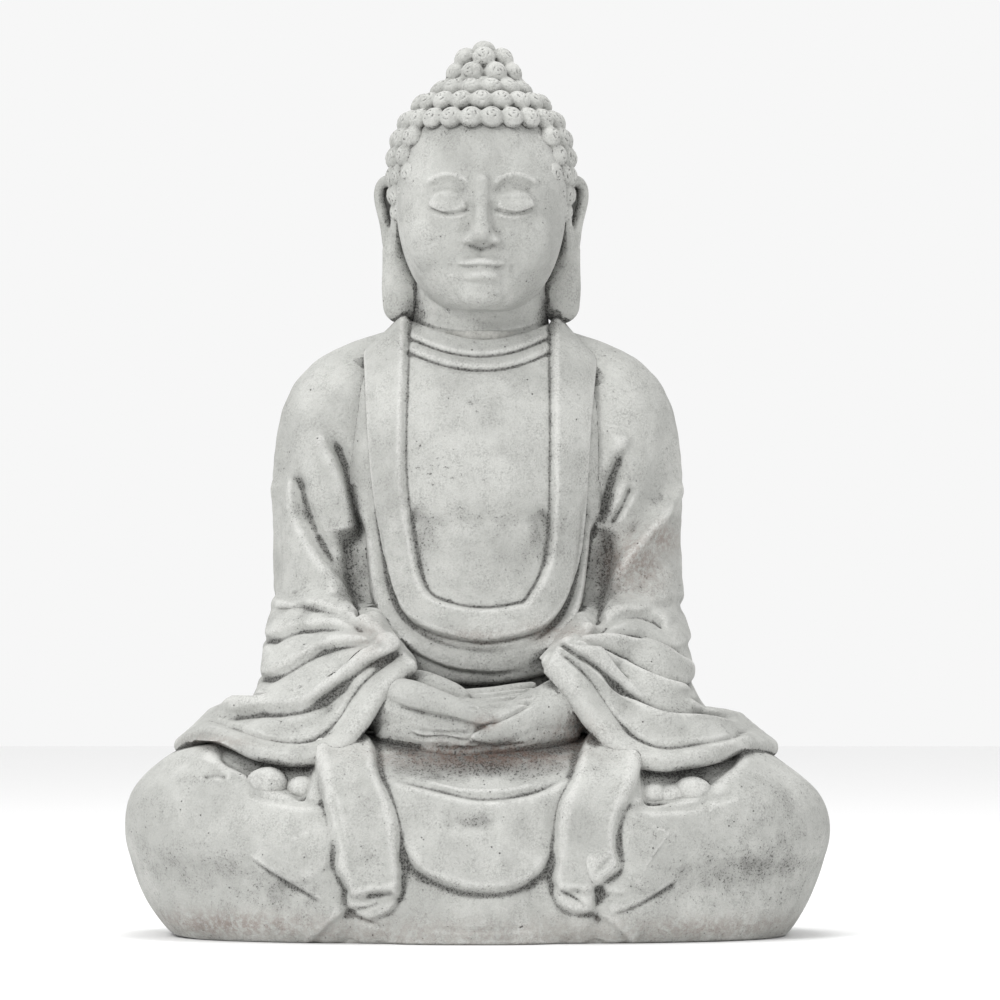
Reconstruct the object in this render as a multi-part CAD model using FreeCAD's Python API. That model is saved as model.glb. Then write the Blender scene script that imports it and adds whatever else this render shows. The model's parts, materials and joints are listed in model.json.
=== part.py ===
"""A seated buddha garden statue, built as hollow fibre-cement castings around a steel armature.

Millimetres. +Z is up, +X is the statue's left hand side, and the statue faces -Y. The origin is on
the ground, at the middle of the footprint. The castings are lofts of level rings, so every piece
that seats on another takes its faces from the same rings.
"""

import FreeCAD
import Part
import math
import os

from FreeCAD import Vector

# ---- Driving sizes -------------------------------------------------------------------------
# Overall heights, stacked from the ground up.
legs_height = 152.0          # ground to the flat seat that the torso stands on
torso_height = 318.0         # seat to the top of the collar, where the neck comes out
chin_gap = 13.0              # collar to chin
head_height = 188.0          # chin to the top of the hair, without the topknot
topknot_height = 29.0        # what the topknot stands above the hair

# Widths and depths.
legs_width = 546.0           # knee to knee
legs_depth = 350.0           # robe front to the back of the seat
torso_width = 232.0          # chest, between the arms
torso_depth = 176.0
arm_reach = 162.0            # middle of the body to the outside of the upper arm
arm_width = 98.0
arm_depth = 122.0
sleeve_reach = 226.0         # middle of the body to the tip of the sleeve's hem
sleeve_width = 168.0
sleeve_depth = 172.0
hands_width = 168.0
hands_depth = 86.0
hands_height = 50.0
head_width = 138.0           # face, without the hair
head_depth = 174.0
neck_width = 88.0
ear_height = 114.0
lobe_width = 33.0
topknot_width = 74.0
apron_width = 182.0          # cloth that falls over the crossed ankles
apron_height = 118.0
apron_proud = 8.0            # how far that cloth stands in front of the shins
robe_end_width = 62.0        # each hanging end of the robe
big_toe_radius = 14.0
small_toe_radius = 10.0
nose_width = 24.0
nose_length = 43.0
nose_proud = 15.0

# Casting and joint sizes.
wall = 12.0                  # casting thickness
legs_extra_wall = 6.0        # the legs carry the rest, so their wall is thicker by this
hair_depth = 8.0             # curl cap, skull to the top of the curls
joint_gap = 3.0              # mortar thickness
tape_thickness = 2.0         # glass mat over the side seams
tape_width = 44.0
ledge_width = 26.0           # inner ledge of the base, which the base plate is screwed to
ledge_height = 16.0
plate_thickness = 10.0
plate_recess = 2.0           # plate's underside above the rim
plate_clearance = 1.5
drain_radius = 4.5
drain_spacing = 218.0        # between the two weep holes
drain_offset_y = 40.0        # weep holes behind the middle of the legs
screw_inset = 14.5           # screws in from the rebate's side
screw_radius = 2.5
screw_head_radius = 5.0
screw_head_height = 3.0
screw_length = 22.0
plug_wall = 2.0              # nylon plug around each screw
plug_end = 2.0
rod_radius = 6.0             # galvanised armature bars
cross_bar_radius = 5.0
foot_bar_share = 0.92        # foot bar's length, of the cavity's width
dowel_radius = 2.5           # stainless dowels
dowel_grip = 9.0             # how far a dowel goes into each piece
arm_drop = 8.0               # top of the arm castings below the collar
mouth_overlap = 8.0          # how far the torso's mouth runs down past the legs' wall

# Places that the sizes above don't settle.
legs_centre_y = -10.0
torso_centre_y = 45.0
neck_centre_y = 37.0
head_centre_y = 28.0
sleeve_centre_y = -2.0
head_offset_x = 3.0          # the head sits a little to its left
hands_centre_y = -98.0
ear_offset_y = 10.0          # ear behind the middle of the head
hairline_front = 36.0        # hairline at the forehead, below the top of the hair
hairline_back = 168.0        # hairline at the nape, below the top of the hair

# ---- Heights worked out from them ------------------------------------------------------------
seat_z = legs_height
torso_z = seat_z + joint_gap
collar_z = seat_z + torso_height
chin_z = collar_z + chin_gap
crown_z = chin_z + head_height
top_z = crown_z + topknot_height
skull_z = crown_z - hair_depth
inner_top = collar_z - wall

RING_POINTS = 28
FAR = 2000.0


def ring(z, half_width, front, back, centre_x=0.0, centre_y=0.0, squareness=2.0):
    """A level closed curve: half_width each side, and its own reach to the front and to the back."""
    points = []
    for i in range(RING_POINTS):
        angle = 2 * math.pi * i / RING_POINTS
        c, s = math.cos(angle), math.sin(angle)
        x = math.copysign(abs(c) ** (2 / squareness), c) * half_width
        y = math.copysign(abs(s) ** (2 / squareness), s) * (back if s > 0 else front)
        points.append(Vector(centre_x + x, centre_y + y, z))
    curve = Part.BSplineCurve()
    curve.interpolate(Points=points, PeriodicFlag=True)
    return Part.Wire([curve.toShape()])


def loft(rings):
    return Part.makeLoft(rings, True, False)


def slab(low_z, high_z):
    """All the space between two heights."""
    return Part.makeBox(2 * FAR, 2 * FAR, high_z - low_z, Vector(-FAR, -FAR, low_z))


def strip(low, high, axis):
    """All the space between two places along the x or y axis."""
    if axis == "x":
        return Part.makeBox(high - low, 2 * FAR, 2 * FAR, Vector(low, -FAR, -FAR))
    return Part.makeBox(2 * FAR, high - low, 2 * FAR, Vector(-FAR, low, -FAR))


def mirrored(shape, plane_x=0.0):
    """The same piece for the other side, as a solid that faces outwards."""
    return shape.mirror(Vector(plane_x, 0, 0), Vector(1, 0, 0))


def rod(start, end, radius):
    along = end - start
    return Part.makeCylinder(radius, along.Length, start, along)


def largest(shape):
    """The one solid to keep, after a cut that leaves crumbs."""
    return max(shape.Solids, key=lambda s: s.Volume)


# ---- Legs: crossed legs, seat and the cloth that falls over the ankles -------------------------
# Each row is a height share, then the width, front and back shares at that height.
legs_shape = [
    (0.00, 0.87, 0.90, 0.97),
    (0.09, 0.92, 0.95, 1.00),
    (0.26, 0.97, 0.98, 1.00),
    (0.56, 1.00, 0.96, 0.96),
    (0.82, 0.95, 0.86, 0.87),
    (1.00, 0.83, 0.66, 0.76),
]
legs_back = legs_depth / 2 - legs_centre_y
apron_front = legs_depth / 2 + legs_centre_y
legs_front = apron_front - apron_proud


def legs_rings(inset, low_z, high_z):
    """The legs' rings from low_z to high_z, each drawn in by inset."""
    rings = []
    for share, width, front, back in legs_shape:
        z = low_z + share * (high_z - low_z)
        rings.append(ring(z, legs_width / 2 * width - inset, legs_front * front - inset,
                          legs_back * back - inset, centre_y=legs_centre_y, squareness=2.5))
    return rings


def apron():
    """The rounded cloth in front, which is where the statue reaches furthest forward."""
    half, back = apron_width / 2, apron_front * 0.5
    return loft([
        ring(0.0, half * 1.3, apron_front, back, 0, legs_centre_y, 3.2),
        ring(apron_height * 0.3, half * 1.12, apron_front * 0.97, back, 0, legs_centre_y, 3.0),
        ring(apron_height, half, apron_front * 0.86, back, 0, legs_centre_y, 2.6),
    ])


def robe_end(side):
    """One end of the robe, hanging beside the apron."""
    centre = side * (apron_width / 2 + robe_end_width * 0.1)
    half, back = robe_end_width / 2, apron_front * 0.4
    # Each row is a share of the legs' height, then the width and front shares.
    shape = [(0.16, 0.75, 0.99), (0.50, 1.00, 0.985), (0.86, 0.95, 0.90)]
    return loft([ring(share * legs_height, half * width, apron_front * front, back,
                      centre, legs_centre_y, 3.2) for share, width, front in shape])


def toes(side):
    """The toes of the foot that lies on the far thigh."""
    z = legs_height * 0.92
    y = legs_centre_y - legs_front * 0.73
    big = Part.makeSphere(big_toe_radius, Vector(side * legs_width * 0.285, y, z))
    small = Vector(side * legs_width * 0.235, y - big_toe_radius * 0.43, z - 2.0)
    return big.fuse(Part.makeSphere(small_toe_radius, small))


legs_cavity_z = plate_recess + plate_thickness + ledge_height
legs_outer = loft(legs_rings(0.0, 0.0, legs_height))
legs_outer = legs_outer.fuse([apron(), robe_end(-1), robe_end(1), toes(-1), toes(1)])
legs_outer = legs_outer.common(slab(0.0, legs_height))


def torso_rings(inset, low_z, high_z):
    """The torso's rings, each drawn in by inset."""
    shape = [
        (0.00, 1.10, 1.08, 1.04),
        (0.20, 1.02, 1.00, 1.00),
        (0.46, 0.97, 1.00, 0.94),
        (0.68, 1.00, 1.05, 0.94),
        (0.84, 0.97, 0.92, 0.86),
        (0.94, 0.76, 0.78, 0.70),
        (1.00, 0.56, 0.70, 0.60),
    ]
    rings = []
    for share, width, front, back in shape:
        z = low_z + share * (high_z - low_z)
        rings.append(ring(z, torso_width / 2 * width - inset, torso_depth / 2 * front - inset,
                          torso_depth / 2 * back - inset, centre_y=torso_centre_y, squareness=2.3))
    return rings


torso_outer = loft(torso_rings(0.0, torso_z, collar_z))
torso_inner = loft(torso_rings(wall, torso_z, inner_top))


def legs_casting():
    """Hollow, with an inner ledge and a rebate for the base plate, and a mouth under the torso."""
    cavity_top = seat_z - wall
    cavity = loft(legs_rings(wall + legs_extra_wall, legs_cavity_z, cavity_top))
    ledge_hole = loft(legs_rings(wall + ledge_width, -1.0, legs_height)).common(
        slab(-1.0, legs_cavity_z + 1.0))
    rebate = loft(legs_rings(wall, -plate_recess, legs_height)).common(
        slab(-1.0, plate_recess + plate_thickness))
    mouth = Part.Face(torso_rings(wall, torso_z, collar_z)[0])
    mouth = mouth.extrude(Vector(0, 0, -joint_gap - wall - mouth_overlap))
    return legs_outer.cut([cavity, ledge_hole, rebate, mouth])


def base_plate_blank(inset):
    """The plate's outline, inside the rebate, as a solid of the plate's thickness."""
    low, high = plate_recess, plate_recess + plate_thickness
    solid = loft(legs_rings(wall + inset, -plate_recess, legs_height))
    return solid.common(slab(low, high))


def screw_places():
    """Three screws each side, on the middle of the ledge."""
    places = []
    for degrees in (-52, 0, 52, 128, 180, 232):
        angle = math.radians(degrees)
        c, s = math.cos(angle), math.sin(angle)
        half = legs_width / 2 * legs_shape[0][1] - wall - screw_inset
        reach = legs_back * legs_shape[0][3] if s > 0 else legs_front * legs_shape[0][2]
        reach -= wall + screw_inset
        x = math.copysign(abs(c) ** 0.8, c) * half
        y = math.copysign(abs(s) ** 0.8, s) * reach
        places.append(Vector(x, legs_centre_y + y, 0))
    return places


def screw(place):
    """A countersunk screw, driven up through the plate."""
    low = Vector(place.x, place.y, plate_recess)
    head = Part.makeCone(screw_head_radius, screw_radius, screw_head_height, low)
    return head.fuse(Part.makeCylinder(screw_radius, screw_length, low))


def plug_blank(place):
    """The outside of the nylon plug that is cast into the ledge."""
    low = plate_recess + plate_thickness
    height = plate_recess + screw_length + plug_end - low
    return Part.makeCylinder(screw_radius + plug_wall, height, Vector(place.x, place.y, low))


# ---- Arms and sleeves ---------------------------------------------------------------------------
def sleeve_hem():
    """The outline that the left sleeve stands on."""
    return ring(torso_z, sleeve_width / 2, sleeve_depth / 2, sleeve_depth / 2,
                sleeve_reach - sleeve_width / 2, sleeve_centre_y, 2.2)


def arm_outer():
    """The statue's left arm with its sleeve, from the shoulder down to the hem on the thigh."""
    # Each row is a height share, the middle's x, half the width, the middle's y and half the depth.
    middle = arm_reach - arm_width / 2
    hem_middle = sleeve_reach - sleeve_width / 2
    span = collar_z - arm_drop - torso_z
    shape = [
        (0.030, hem_middle - 5, sleeve_width * 0.48, 0.0, sleeve_depth * 0.50),
        (0.080, middle + 12, arm_width * 0.57, 10.0, arm_depth * 0.66),
        (0.150, middle + 7, arm_width * 0.51, 24.0, arm_depth * 0.60),
        (0.300, middle + 4, arm_width * 0.49, 38.0, arm_depth * 0.54),
        (0.520, middle + 2, arm_width * 0.49, 45.0, arm_depth * 0.50),
        (0.740, middle - 1, arm_width * 0.50, 47.0, arm_depth * 0.48),
        (0.840, middle - 8, arm_width * 0.50, 48.0, arm_depth * 0.44),
        (0.905, middle - 16, arm_width * 0.46, 48.0, arm_depth * 0.39),
        (0.965, middle - 26, arm_width * 0.34, 48.0, arm_depth * 0.30),
        (1.000, middle - 33, arm_width * 0.14, 48.0, arm_depth * 0.16),
    ]
    return loft([sleeve_hem()] + [ring(torso_z + share * span, half, deep, deep, x, y, 2.2)
                                  for share, x, half, y, deep in shape])


def arm_core():
    """What is taken out of the arm to keep its wall even, open where the torso's wall backs it."""
    middle = arm_reach - arm_width / 2
    span = collar_z - arm_drop - torso_z
    low, high = torso_z + 0.10 * span, torso_z + 0.86 * span
    half, deep = arm_width / 2 - wall, arm_depth / 2 - wall
    return loft([
        ring(low, half * 0.7, deep * 0.7, deep * 0.7, middle + 4, 30.0),
        ring(low + 0.25 * (high - low), half * 0.9, deep * 0.9, deep * 0.9, middle + 2, 40.0),
        ring(low + 0.75 * (high - low), half * 0.9, deep * 0.82, deep * 0.82, middle, 46.0),
        ring(high, half * 0.4, deep * 0.4, deep * 0.4, middle - 6, 47.0),
    ])


def arm_dowel_places(side):
    """Two level dowels through the chest wall into each arm, in front of the seam's tape."""
    places = []
    y = torso_centre_y - tape_width / 2 - 2 * dowel_radius
    for share in (0.16, 0.68):
        z = torso_z + share * (collar_z - torso_z)
        places.append(Vector(side * torso_width / 2, y, z))
    return places


# ---- Hands ------------------------------------------------------------------------------------
def hands_rings():
    """Both hands, one lying in the other, from the legs up."""
    half, deep = hands_width / 2, hands_depth / 2
    # Each row is a height share, then the width, front and back shares.
    shape = [(0.0, 0.72, 0.62, 1.0), (0.3, 0.94, 0.92, 1.0), (0.65, 1.0, 1.0, 1.0),
             (1.0, 0.78, 0.8, 0.9)]
    return [ring(torso_z + share * hands_height, half * width, deep * front, deep * back,
                 0, hands_centre_y, 2.3) for share, width, front, back in shape]


# ---- Head ---------------------------------------------------------------------------------------
def head_rings(grow):
    """Face and skull from the chin up, each ring grown or drawn in by grow."""
    shape = [
        (0.00, 0.58, 0.62, 0.62),
        (0.05, 0.74, 0.84, 0.76),
        (0.15, 0.88, 1.00, 0.90),
        (0.30, 0.97, 1.04, 0.98),
        (0.52, 1.00, 1.03, 1.02),
        (0.72, 0.99, 0.98, 1.00),
        (0.88, 0.84, 0.80, 0.86),
        (0.97, 0.56, 0.50, 0.60),
        (1.00, 0.30, 0.26, 0.32),
    ]
    low, high = chin_z - max(grow, 0.0), skull_z + grow
    rings = []
    for share, width, front, back in shape:
        rings.append(ring(low + share * (high - low), head_width / 2 * width + grow,
                          head_depth / 2 * front + grow, head_depth / 2 * back + grow,
                          head_offset_x, head_centre_y, 2.15))
    return rings


neck_low = inner_top
neck_high = chin_z + head_height * 0.18


def neck(grow, low_z, high_z):
    """The part of the neck between two heights, grown or drawn in by grow."""
    radius = neck_width / 2 + grow
    bar = loft([
        ring(neck_low - wall, radius, radius, radius, head_offset_x / 2, neck_centre_y),
        ring(neck_high, radius * 0.96, radius * 0.96, radius, head_offset_x, neck_centre_y),
    ])
    return bar.common(slab(low_z, high_z))


head_solid = loft(head_rings(0.0)).fuse(neck(0.0, neck_low, neck_high))


def nose():
    """A plain wedge for the nose, on the middle line of the face."""
    face_y = head_centre_y - head_depth / 2 * 1.03
    foot = chin_z + head_height * 0.28
    half, back = nose_width / 2, nose_proud / 2
    # Each row is a share of the nose's length, then the width and front shares.
    shape = [(0.0, 1.0, 1.0), (0.19, 0.75, 0.93), (1.0, 0.5, 0.27)]
    return loft([ring(foot + share * nose_length, half * width, nose_proud * front, back,
                      head_offset_x, face_y) for share, width, front in shape])


def head_casting(ear_dowels):
    solid = head_solid.fuse(nose())
    hollow = loft(head_rings(-wall)).fuse(neck(-wall, neck_low - 1.0, neck_high))
    return largest(solid.cut([hollow] + ear_dowels))


def above_hairline():
    """The half space above the slanting line from the forehead to the nape."""
    front = Vector(0, head_centre_y - head_depth / 2, crown_z - hairline_front)
    back = Vector(0, head_centre_y + head_depth / 2, crown_z - hairline_back)
    along = (back - front).normalize()
    up = Vector(0, -along.z, along.y)
    corners = [front - along * FAR, front + along * FAR,
               front + along * FAR + up * FAR, front - along * FAR + up * FAR]
    corners = [c - Vector(FAR, 0, 0) for c in corners]
    face = Part.Face(Part.makePolygon(corners + corners[:1]))
    return face.extrude(Vector(2 * FAR, 0, 0))


def topknot():
    half = topknot_width / 2
    y = head_centre_y + 4.0
    rise = topknot_height
    return loft([
        ring(crown_z - 14.0, half * 1.1, half * 1.1, half * 1.1, head_offset_x, y),
        ring(crown_z, half * 0.86, half * 0.86, half * 0.9, head_offset_x, y),
        ring(crown_z + rise * 0.45, half * 0.70, half * 0.70, half * 0.74, head_offset_x, y),
        ring(crown_z + rise * 0.85, half * 0.46, half * 0.46, half * 0.46, head_offset_x, y),
        ring(top_z, half * 0.16, half * 0.16, half * 0.16, head_offset_x, y),
    ])


def curl_cap(ears):
    """The cap of curls with the topknot, bonded over the skull."""
    shell = loft(head_rings(hair_depth)).common(above_hairline())
    solid = shell.fuse(topknot()).cut([head_solid] + ears)
    return largest(solid)


def ear_outer():
    """The statue's left ear, with its long lobe."""
    low = chin_z - 6.0
    side = head_offset_x + head_width / 2
    y = head_centre_y + ear_offset_y
    # Each row is a height share, the middle's offset from the side of the face, and two halves.
    shape = [
        (0.00, -8.0, lobe_width * 0.20, 5.0),
        (0.06, -8.0, lobe_width * 0.42, 9.0),
        (0.22, -8.0, lobe_width * 0.50, 11.0),
        (0.44, -3.0, lobe_width * 0.40, 11.0),
        (0.62, 4.0, lobe_width * 0.28, 12.0),
        (0.82, 7.0, lobe_width * 0.25, 15.0),
        (0.96, 7.0, lobe_width * 0.18, 12.0),
        (1.00, 6.0, lobe_width * 0.08, 6.0),
    ]
    return loft([ring(low + share * ear_height, half, deep, deep, side + x, y)
                 for share, x, half, deep in shape])


def ear_dowel(side):
    """A dowel that pins the ear to the side of the skull, above the free lobe."""
    z = chin_z - 6.0 + ear_height * 0.72
    x = head_offset_x + side * (head_width / 2 - 1.0)
    y = head_centre_y + ear_offset_y
    reach = Vector(side * dowel_grip, 0, 0)
    return rod(Vector(x, y, z) - reach * 0.8, Vector(x, y, z) + reach, dowel_radius)


def armature():
    """Three galvanised bars: an upright, a foot bar lying on the ledge and a shoulder bar."""
    foot_z = legs_cavity_z + cross_bar_radius
    half = (legs_width / 2 * legs_shape[0][1] - wall - legs_extra_wall) * foot_bar_share
    behind = neck_centre_y + rod_radius + cross_bar_radius
    foot = rod(Vector(-half, behind, foot_z), Vector(half, behind, foot_z), cross_bar_radius)
    low = Vector(0, neck_centre_y, plate_recess + plate_thickness)
    upright = rod(low, Vector(0, neck_centre_y, chin_z + head_height * 0.55), rod_radius)
    shoulder_z = torso_z + (collar_z - torso_z) * 0.78
    half = torso_width / 2 * 0.97 - wall - 1.0
    shoulder = rod(Vector(-half, behind, shoulder_z), Vector(half, behind, shoulder_z),
                   cross_bar_radius)
    return upright, foot, shoulder


def torso_shells(dowels):
    """The front and back shells of the chest, either side of the seam, open at the collar."""
    mouth = neck(joint_gap, inner_top - 1.0, collar_z + 1.0)
    shell = torso_outer.cut([torso_inner, mouth] + dowels)
    half_gap = joint_gap / 2
    front = shell.common(strip(-FAR, torso_centre_y - half_gap, "y"))
    back = shell.common(strip(torso_centre_y + half_gap, FAR, "y"))
    seam = shell.common(strip(torso_centre_y - half_gap, torso_centre_y + half_gap, "y"))
    return front, back, seam


def seam_tape(side):
    """Glass mat laid over the side seam, inside the chest."""
    inner = loft(torso_rings(wall + tape_thickness, torso_z, inner_top))
    band = strip(torso_centre_y - tape_width / 2, torso_centre_y + tape_width / 2, "y")
    tape = torso_inner.cut(inner).common(band)
    tape = tape.common(slab(torso_z + 6.0, torso_z + (collar_z - torso_z) * 0.74))
    reach = (0.0, FAR) if side > 0 else (-FAR, 0.0)
    return tape.common(strip(reach[0], reach[1], "x"))


def bed(outline):
    """A layer of mortar under a closed outline."""
    return Part.Face(outline).extrude(Vector(0, 0, -joint_gap))


def drains():
    """What is bored out of the base plate for the two weep holes."""
    return [Part.makeCylinder(drain_radius, plate_thickness + 2 * plate_recess,
                              Vector(side * drain_spacing / 2, legs_centre_y + drain_offset_y, 0))
            for side in (-1, 1)]


def neck_joint():
    """The mortar between the neck and the collar."""
    return neck(joint_gap, inner_top, collar_z).cut(neck(0.0, inner_top - 1.0, collar_z + 1.0))


def build():
    """Every piece of the statue, by the name of its node."""
    places = screw_places()
    plugs = [plug_blank(p) for p in places]
    screws = [screw(p) for p in places]
    ear_dowels = [ear_dowel(-1), ear_dowel(1)]
    arm_dowels = []
    for side in (-1, 1):
        for p in arm_dowel_places(side):
            reach = Vector(side * dowel_grip, 0, 0)
            arm_dowels.append(rod(p - reach, p + reach, dowel_radius))
    front, back, seam = torso_shells(arm_dowels)
    upright, foot, shoulder = armature()

    arm, core = arm_outer(), arm_core()
    left_arm = arm.cut([torso_outer, core] + arm_dowels[2:])
    right_arm = mirrored(arm).cut([torso_outer, mirrored(core)] + arm_dowels[:2])
    hand_dowels = [rod(Vector(side * hands_width * 0.2, hands_centre_y, seat_z - wall * 0.7),
                       Vector(side * hands_width * 0.2, hands_centre_y, torso_z + dowel_grip),
                       dowel_radius) for side in (-1, 1)]
    hands = loft(hands_rings()).cut([torso_outer, arm, mirrored(arm)] + hand_dowels)

    waist_bed = bed(torso_rings(0.0, torso_z, collar_z)[0])
    left_bed = bed(sleeve_hem()).cut(waist_bed)
    right_bed = mirrored(bed(sleeve_hem())).cut(waist_bed)
    hands_bed = bed(hands_rings()[0]).cut([waist_bed, left_bed, right_bed] + hand_dowels)
    waist_bed = waist_bed.cut(bed(torso_rings(wall, torso_z, collar_z)[0]))

    plate = base_plate_blank(plate_clearance).cut(screws + drains())

    ears = [ear_outer(), mirrored(ear_outer(), head_offset_x)]
    left_ear, right_ear = [ear.cut([head_solid] + ear_dowels) for ear in ears]

    return {
        "legs_casting": largest(legs_casting().cut(plugs + hand_dowels)),
        "base_plate": plate,
        "base_screws": Part.makeCompound(screws),
        "screw_plugs": Part.makeCompound([p.cut(s) for p, s in zip(plugs, screws)]),
        "torso_front_shell": largest(front),
        "torso_back_shell": largest(back),
        "side_seam_mortar": seam,
        "left_seam_tape": seam_tape(1),
        "right_seam_tape": seam_tape(-1),
        "waist_mortar": waist_bed,
        "left_sleeve_mortar": left_bed,
        "right_sleeve_mortar": right_bed,
        "hands_mortar": hands_bed,
        "left_arm_casting": largest(left_arm),
        "right_arm_casting": largest(right_arm),
        "arm_dowels": Part.makeCompound(arm_dowels),
        "hands_casting": largest(hands),
        "hand_dowels": Part.makeCompound(hand_dowels),
        "neck_mortar": neck_joint(),
        "head_casting": head_casting(ear_dowels),
        "curl_cap_casting": curl_cap(ears),
        "left_ear": largest(left_ear),
        "right_ear": largest(right_ear),
        "ear_dowels": Part.makeCompound(ear_dowels),
        "upright_bar": upright,
        "foot_bar": foot,
        "shoulder_bar": shoulder,
    }


def main():
    os.makedirs("parts", exist_ok=True)
    for name, shape in build().items():
        shape.exportStep(os.path.join("parts", name + ".step"))
        print(f"{name}: {len(shape.Solids)} solids, {shape.Volume / 1000:.1f} cm3, "
              f"valid {shape.isValid()}")


main()
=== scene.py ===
"""A seated buddha garden statue, sculpted over its cast frame.

The clay is worked in millimetres, in the frame's own axes: +Z up, the statue faces -Y, and its left
side is +X. Each lump is scaled to metres as it is laid.
"""

import json
import math

import bmesh
import bpy
import numpy as np
from mathutils import Euler, Matrix, Vector
from mathutils.bvhtree import BVHTree


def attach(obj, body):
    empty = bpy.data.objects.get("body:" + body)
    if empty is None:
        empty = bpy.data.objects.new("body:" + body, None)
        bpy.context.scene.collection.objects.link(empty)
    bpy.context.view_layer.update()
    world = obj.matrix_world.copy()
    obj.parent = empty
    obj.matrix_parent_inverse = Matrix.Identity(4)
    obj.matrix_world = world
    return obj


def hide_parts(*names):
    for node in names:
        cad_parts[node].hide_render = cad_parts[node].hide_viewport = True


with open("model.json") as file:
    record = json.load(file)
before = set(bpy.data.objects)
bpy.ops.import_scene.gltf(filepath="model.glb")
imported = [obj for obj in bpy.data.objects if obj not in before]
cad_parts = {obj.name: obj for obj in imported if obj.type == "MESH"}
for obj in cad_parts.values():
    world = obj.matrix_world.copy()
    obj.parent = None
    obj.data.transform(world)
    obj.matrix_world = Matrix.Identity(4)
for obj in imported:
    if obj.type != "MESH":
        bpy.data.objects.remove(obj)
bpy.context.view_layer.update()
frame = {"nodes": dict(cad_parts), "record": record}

# ---- Legs ----------------------------------------------------------------------------------------
# Crossed legs, seat, the cloth over the ankles and the two hanging ends of the robe: one hollow
# casting of fibre cement, laid up in a mould, with its foot rim ground flat.
MM = 0.001
# for each view, the two axes that are seen and the way towards the eye
VIEWS = {
    "front": ((0, 2), (0, -1, 0)),
    "back": ((0, 2), (0, 1, 0)),
    "left": ((1, 2), (1, 0, 0)),
    "right": ((1, 2), (-1, 0, 0)),
    "top": ((0, 1), (0, 0, 1)),
}


def curve(points, steps=6):
    """A smooth run through a few chosen points, each with any number of values."""
    p = np.array(points, float)
    p = np.vstack([2 * p[0] - p[1], p, 2 * p[-1] - p[-2]])
    run = []
    for a, b, c, d in zip(p, p[1:], p[2:], p[3:]):
        for t in np.linspace(0, 1, steps, endpoint=False):
            bend = 2 * a - 5 * b + 4 * c - d + t * (3 * (b - c) + d - a)
            run.append(b + 0.5 * t * (c - a + t * bend))
    run.append(p[-2])
    return np.array(run)


def ball(clay, place, size, turn=(0, 0, 0), fine=4):
    """A ball of clay pressed to three half sizes, then turned by degrees about x, y and z."""
    turned = Euler([math.radians(a) for a in turn]).to_matrix().to_4x4()
    sized = Matrix.Diagonal((*(Vector(size) * MM), 1))
    where = Matrix.Translation(Vector(place) * MM) @ turned @ sized
    bmesh.ops.create_icosphere(clay, subdivisions=fine, radius=1.0, matrix=where)


def roll(clay, points, press=(1, 1, 1), apart=0.22, fine=3):
    """A tapered roll of clay through points of x, y, z and radius."""
    run = curve(points, 12)
    last = None
    for x, y, z, radius in run:
        place = Vector((x, y, z))
        if last is None or (place - last).length > apart * radius:
            ball(clay, place, Vector(press) * radius, fine=fine)
            last = place


def stack(clay, rings, steps=4):
    """A lump of level rings: z, half width, front, back, middle x, middle y, squareness."""
    rings = curve(rings, steps)
    disc = bmesh.ops.create_circle(clay, cap_ends=True, segments=96, radius=1.0)
    verts = list(disc["verts"])
    face = verts[0].link_faces[0]
    for level in range(1, len(rings)):
        grown = bmesh.ops.extrude_face_region(clay, geom=[face], use_keep_orig=level == 1)
        face = next(g for g in grown["geom"] if isinstance(g, bmesh.types.BMFace))
        bmesh.ops.translate(clay, verts=face.verts, vec=(0, 0, 1))
        verts += face.verts
    for vert in verts:
        z, half, front, back, x, y, square = rings[round(vert.co.z)]
        c, s = vert.co.x, vert.co.y
        power = 2 / square
        x += math.copysign(abs(c) ** power, c) * half
        y += math.copysign(abs(s) ** power, s) * (back if s > 0 else front)
        vert.co = Vector((x, y, z)) * MM


def settle(piece):
    """Makes a piece's modifiers real."""
    bpy.context.view_layer.update()
    seen = piece.evaluated_get(bpy.context.evaluated_depsgraph_get())
    made = bpy.data.meshes.new_from_object(seen)
    piece.modifiers.clear()
    piece.data = made


def ramp(values, low, high):
    t = np.clip((values - low) / (high - low), 0, 1)
    return t * t * (3 - 2 * t)


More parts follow.
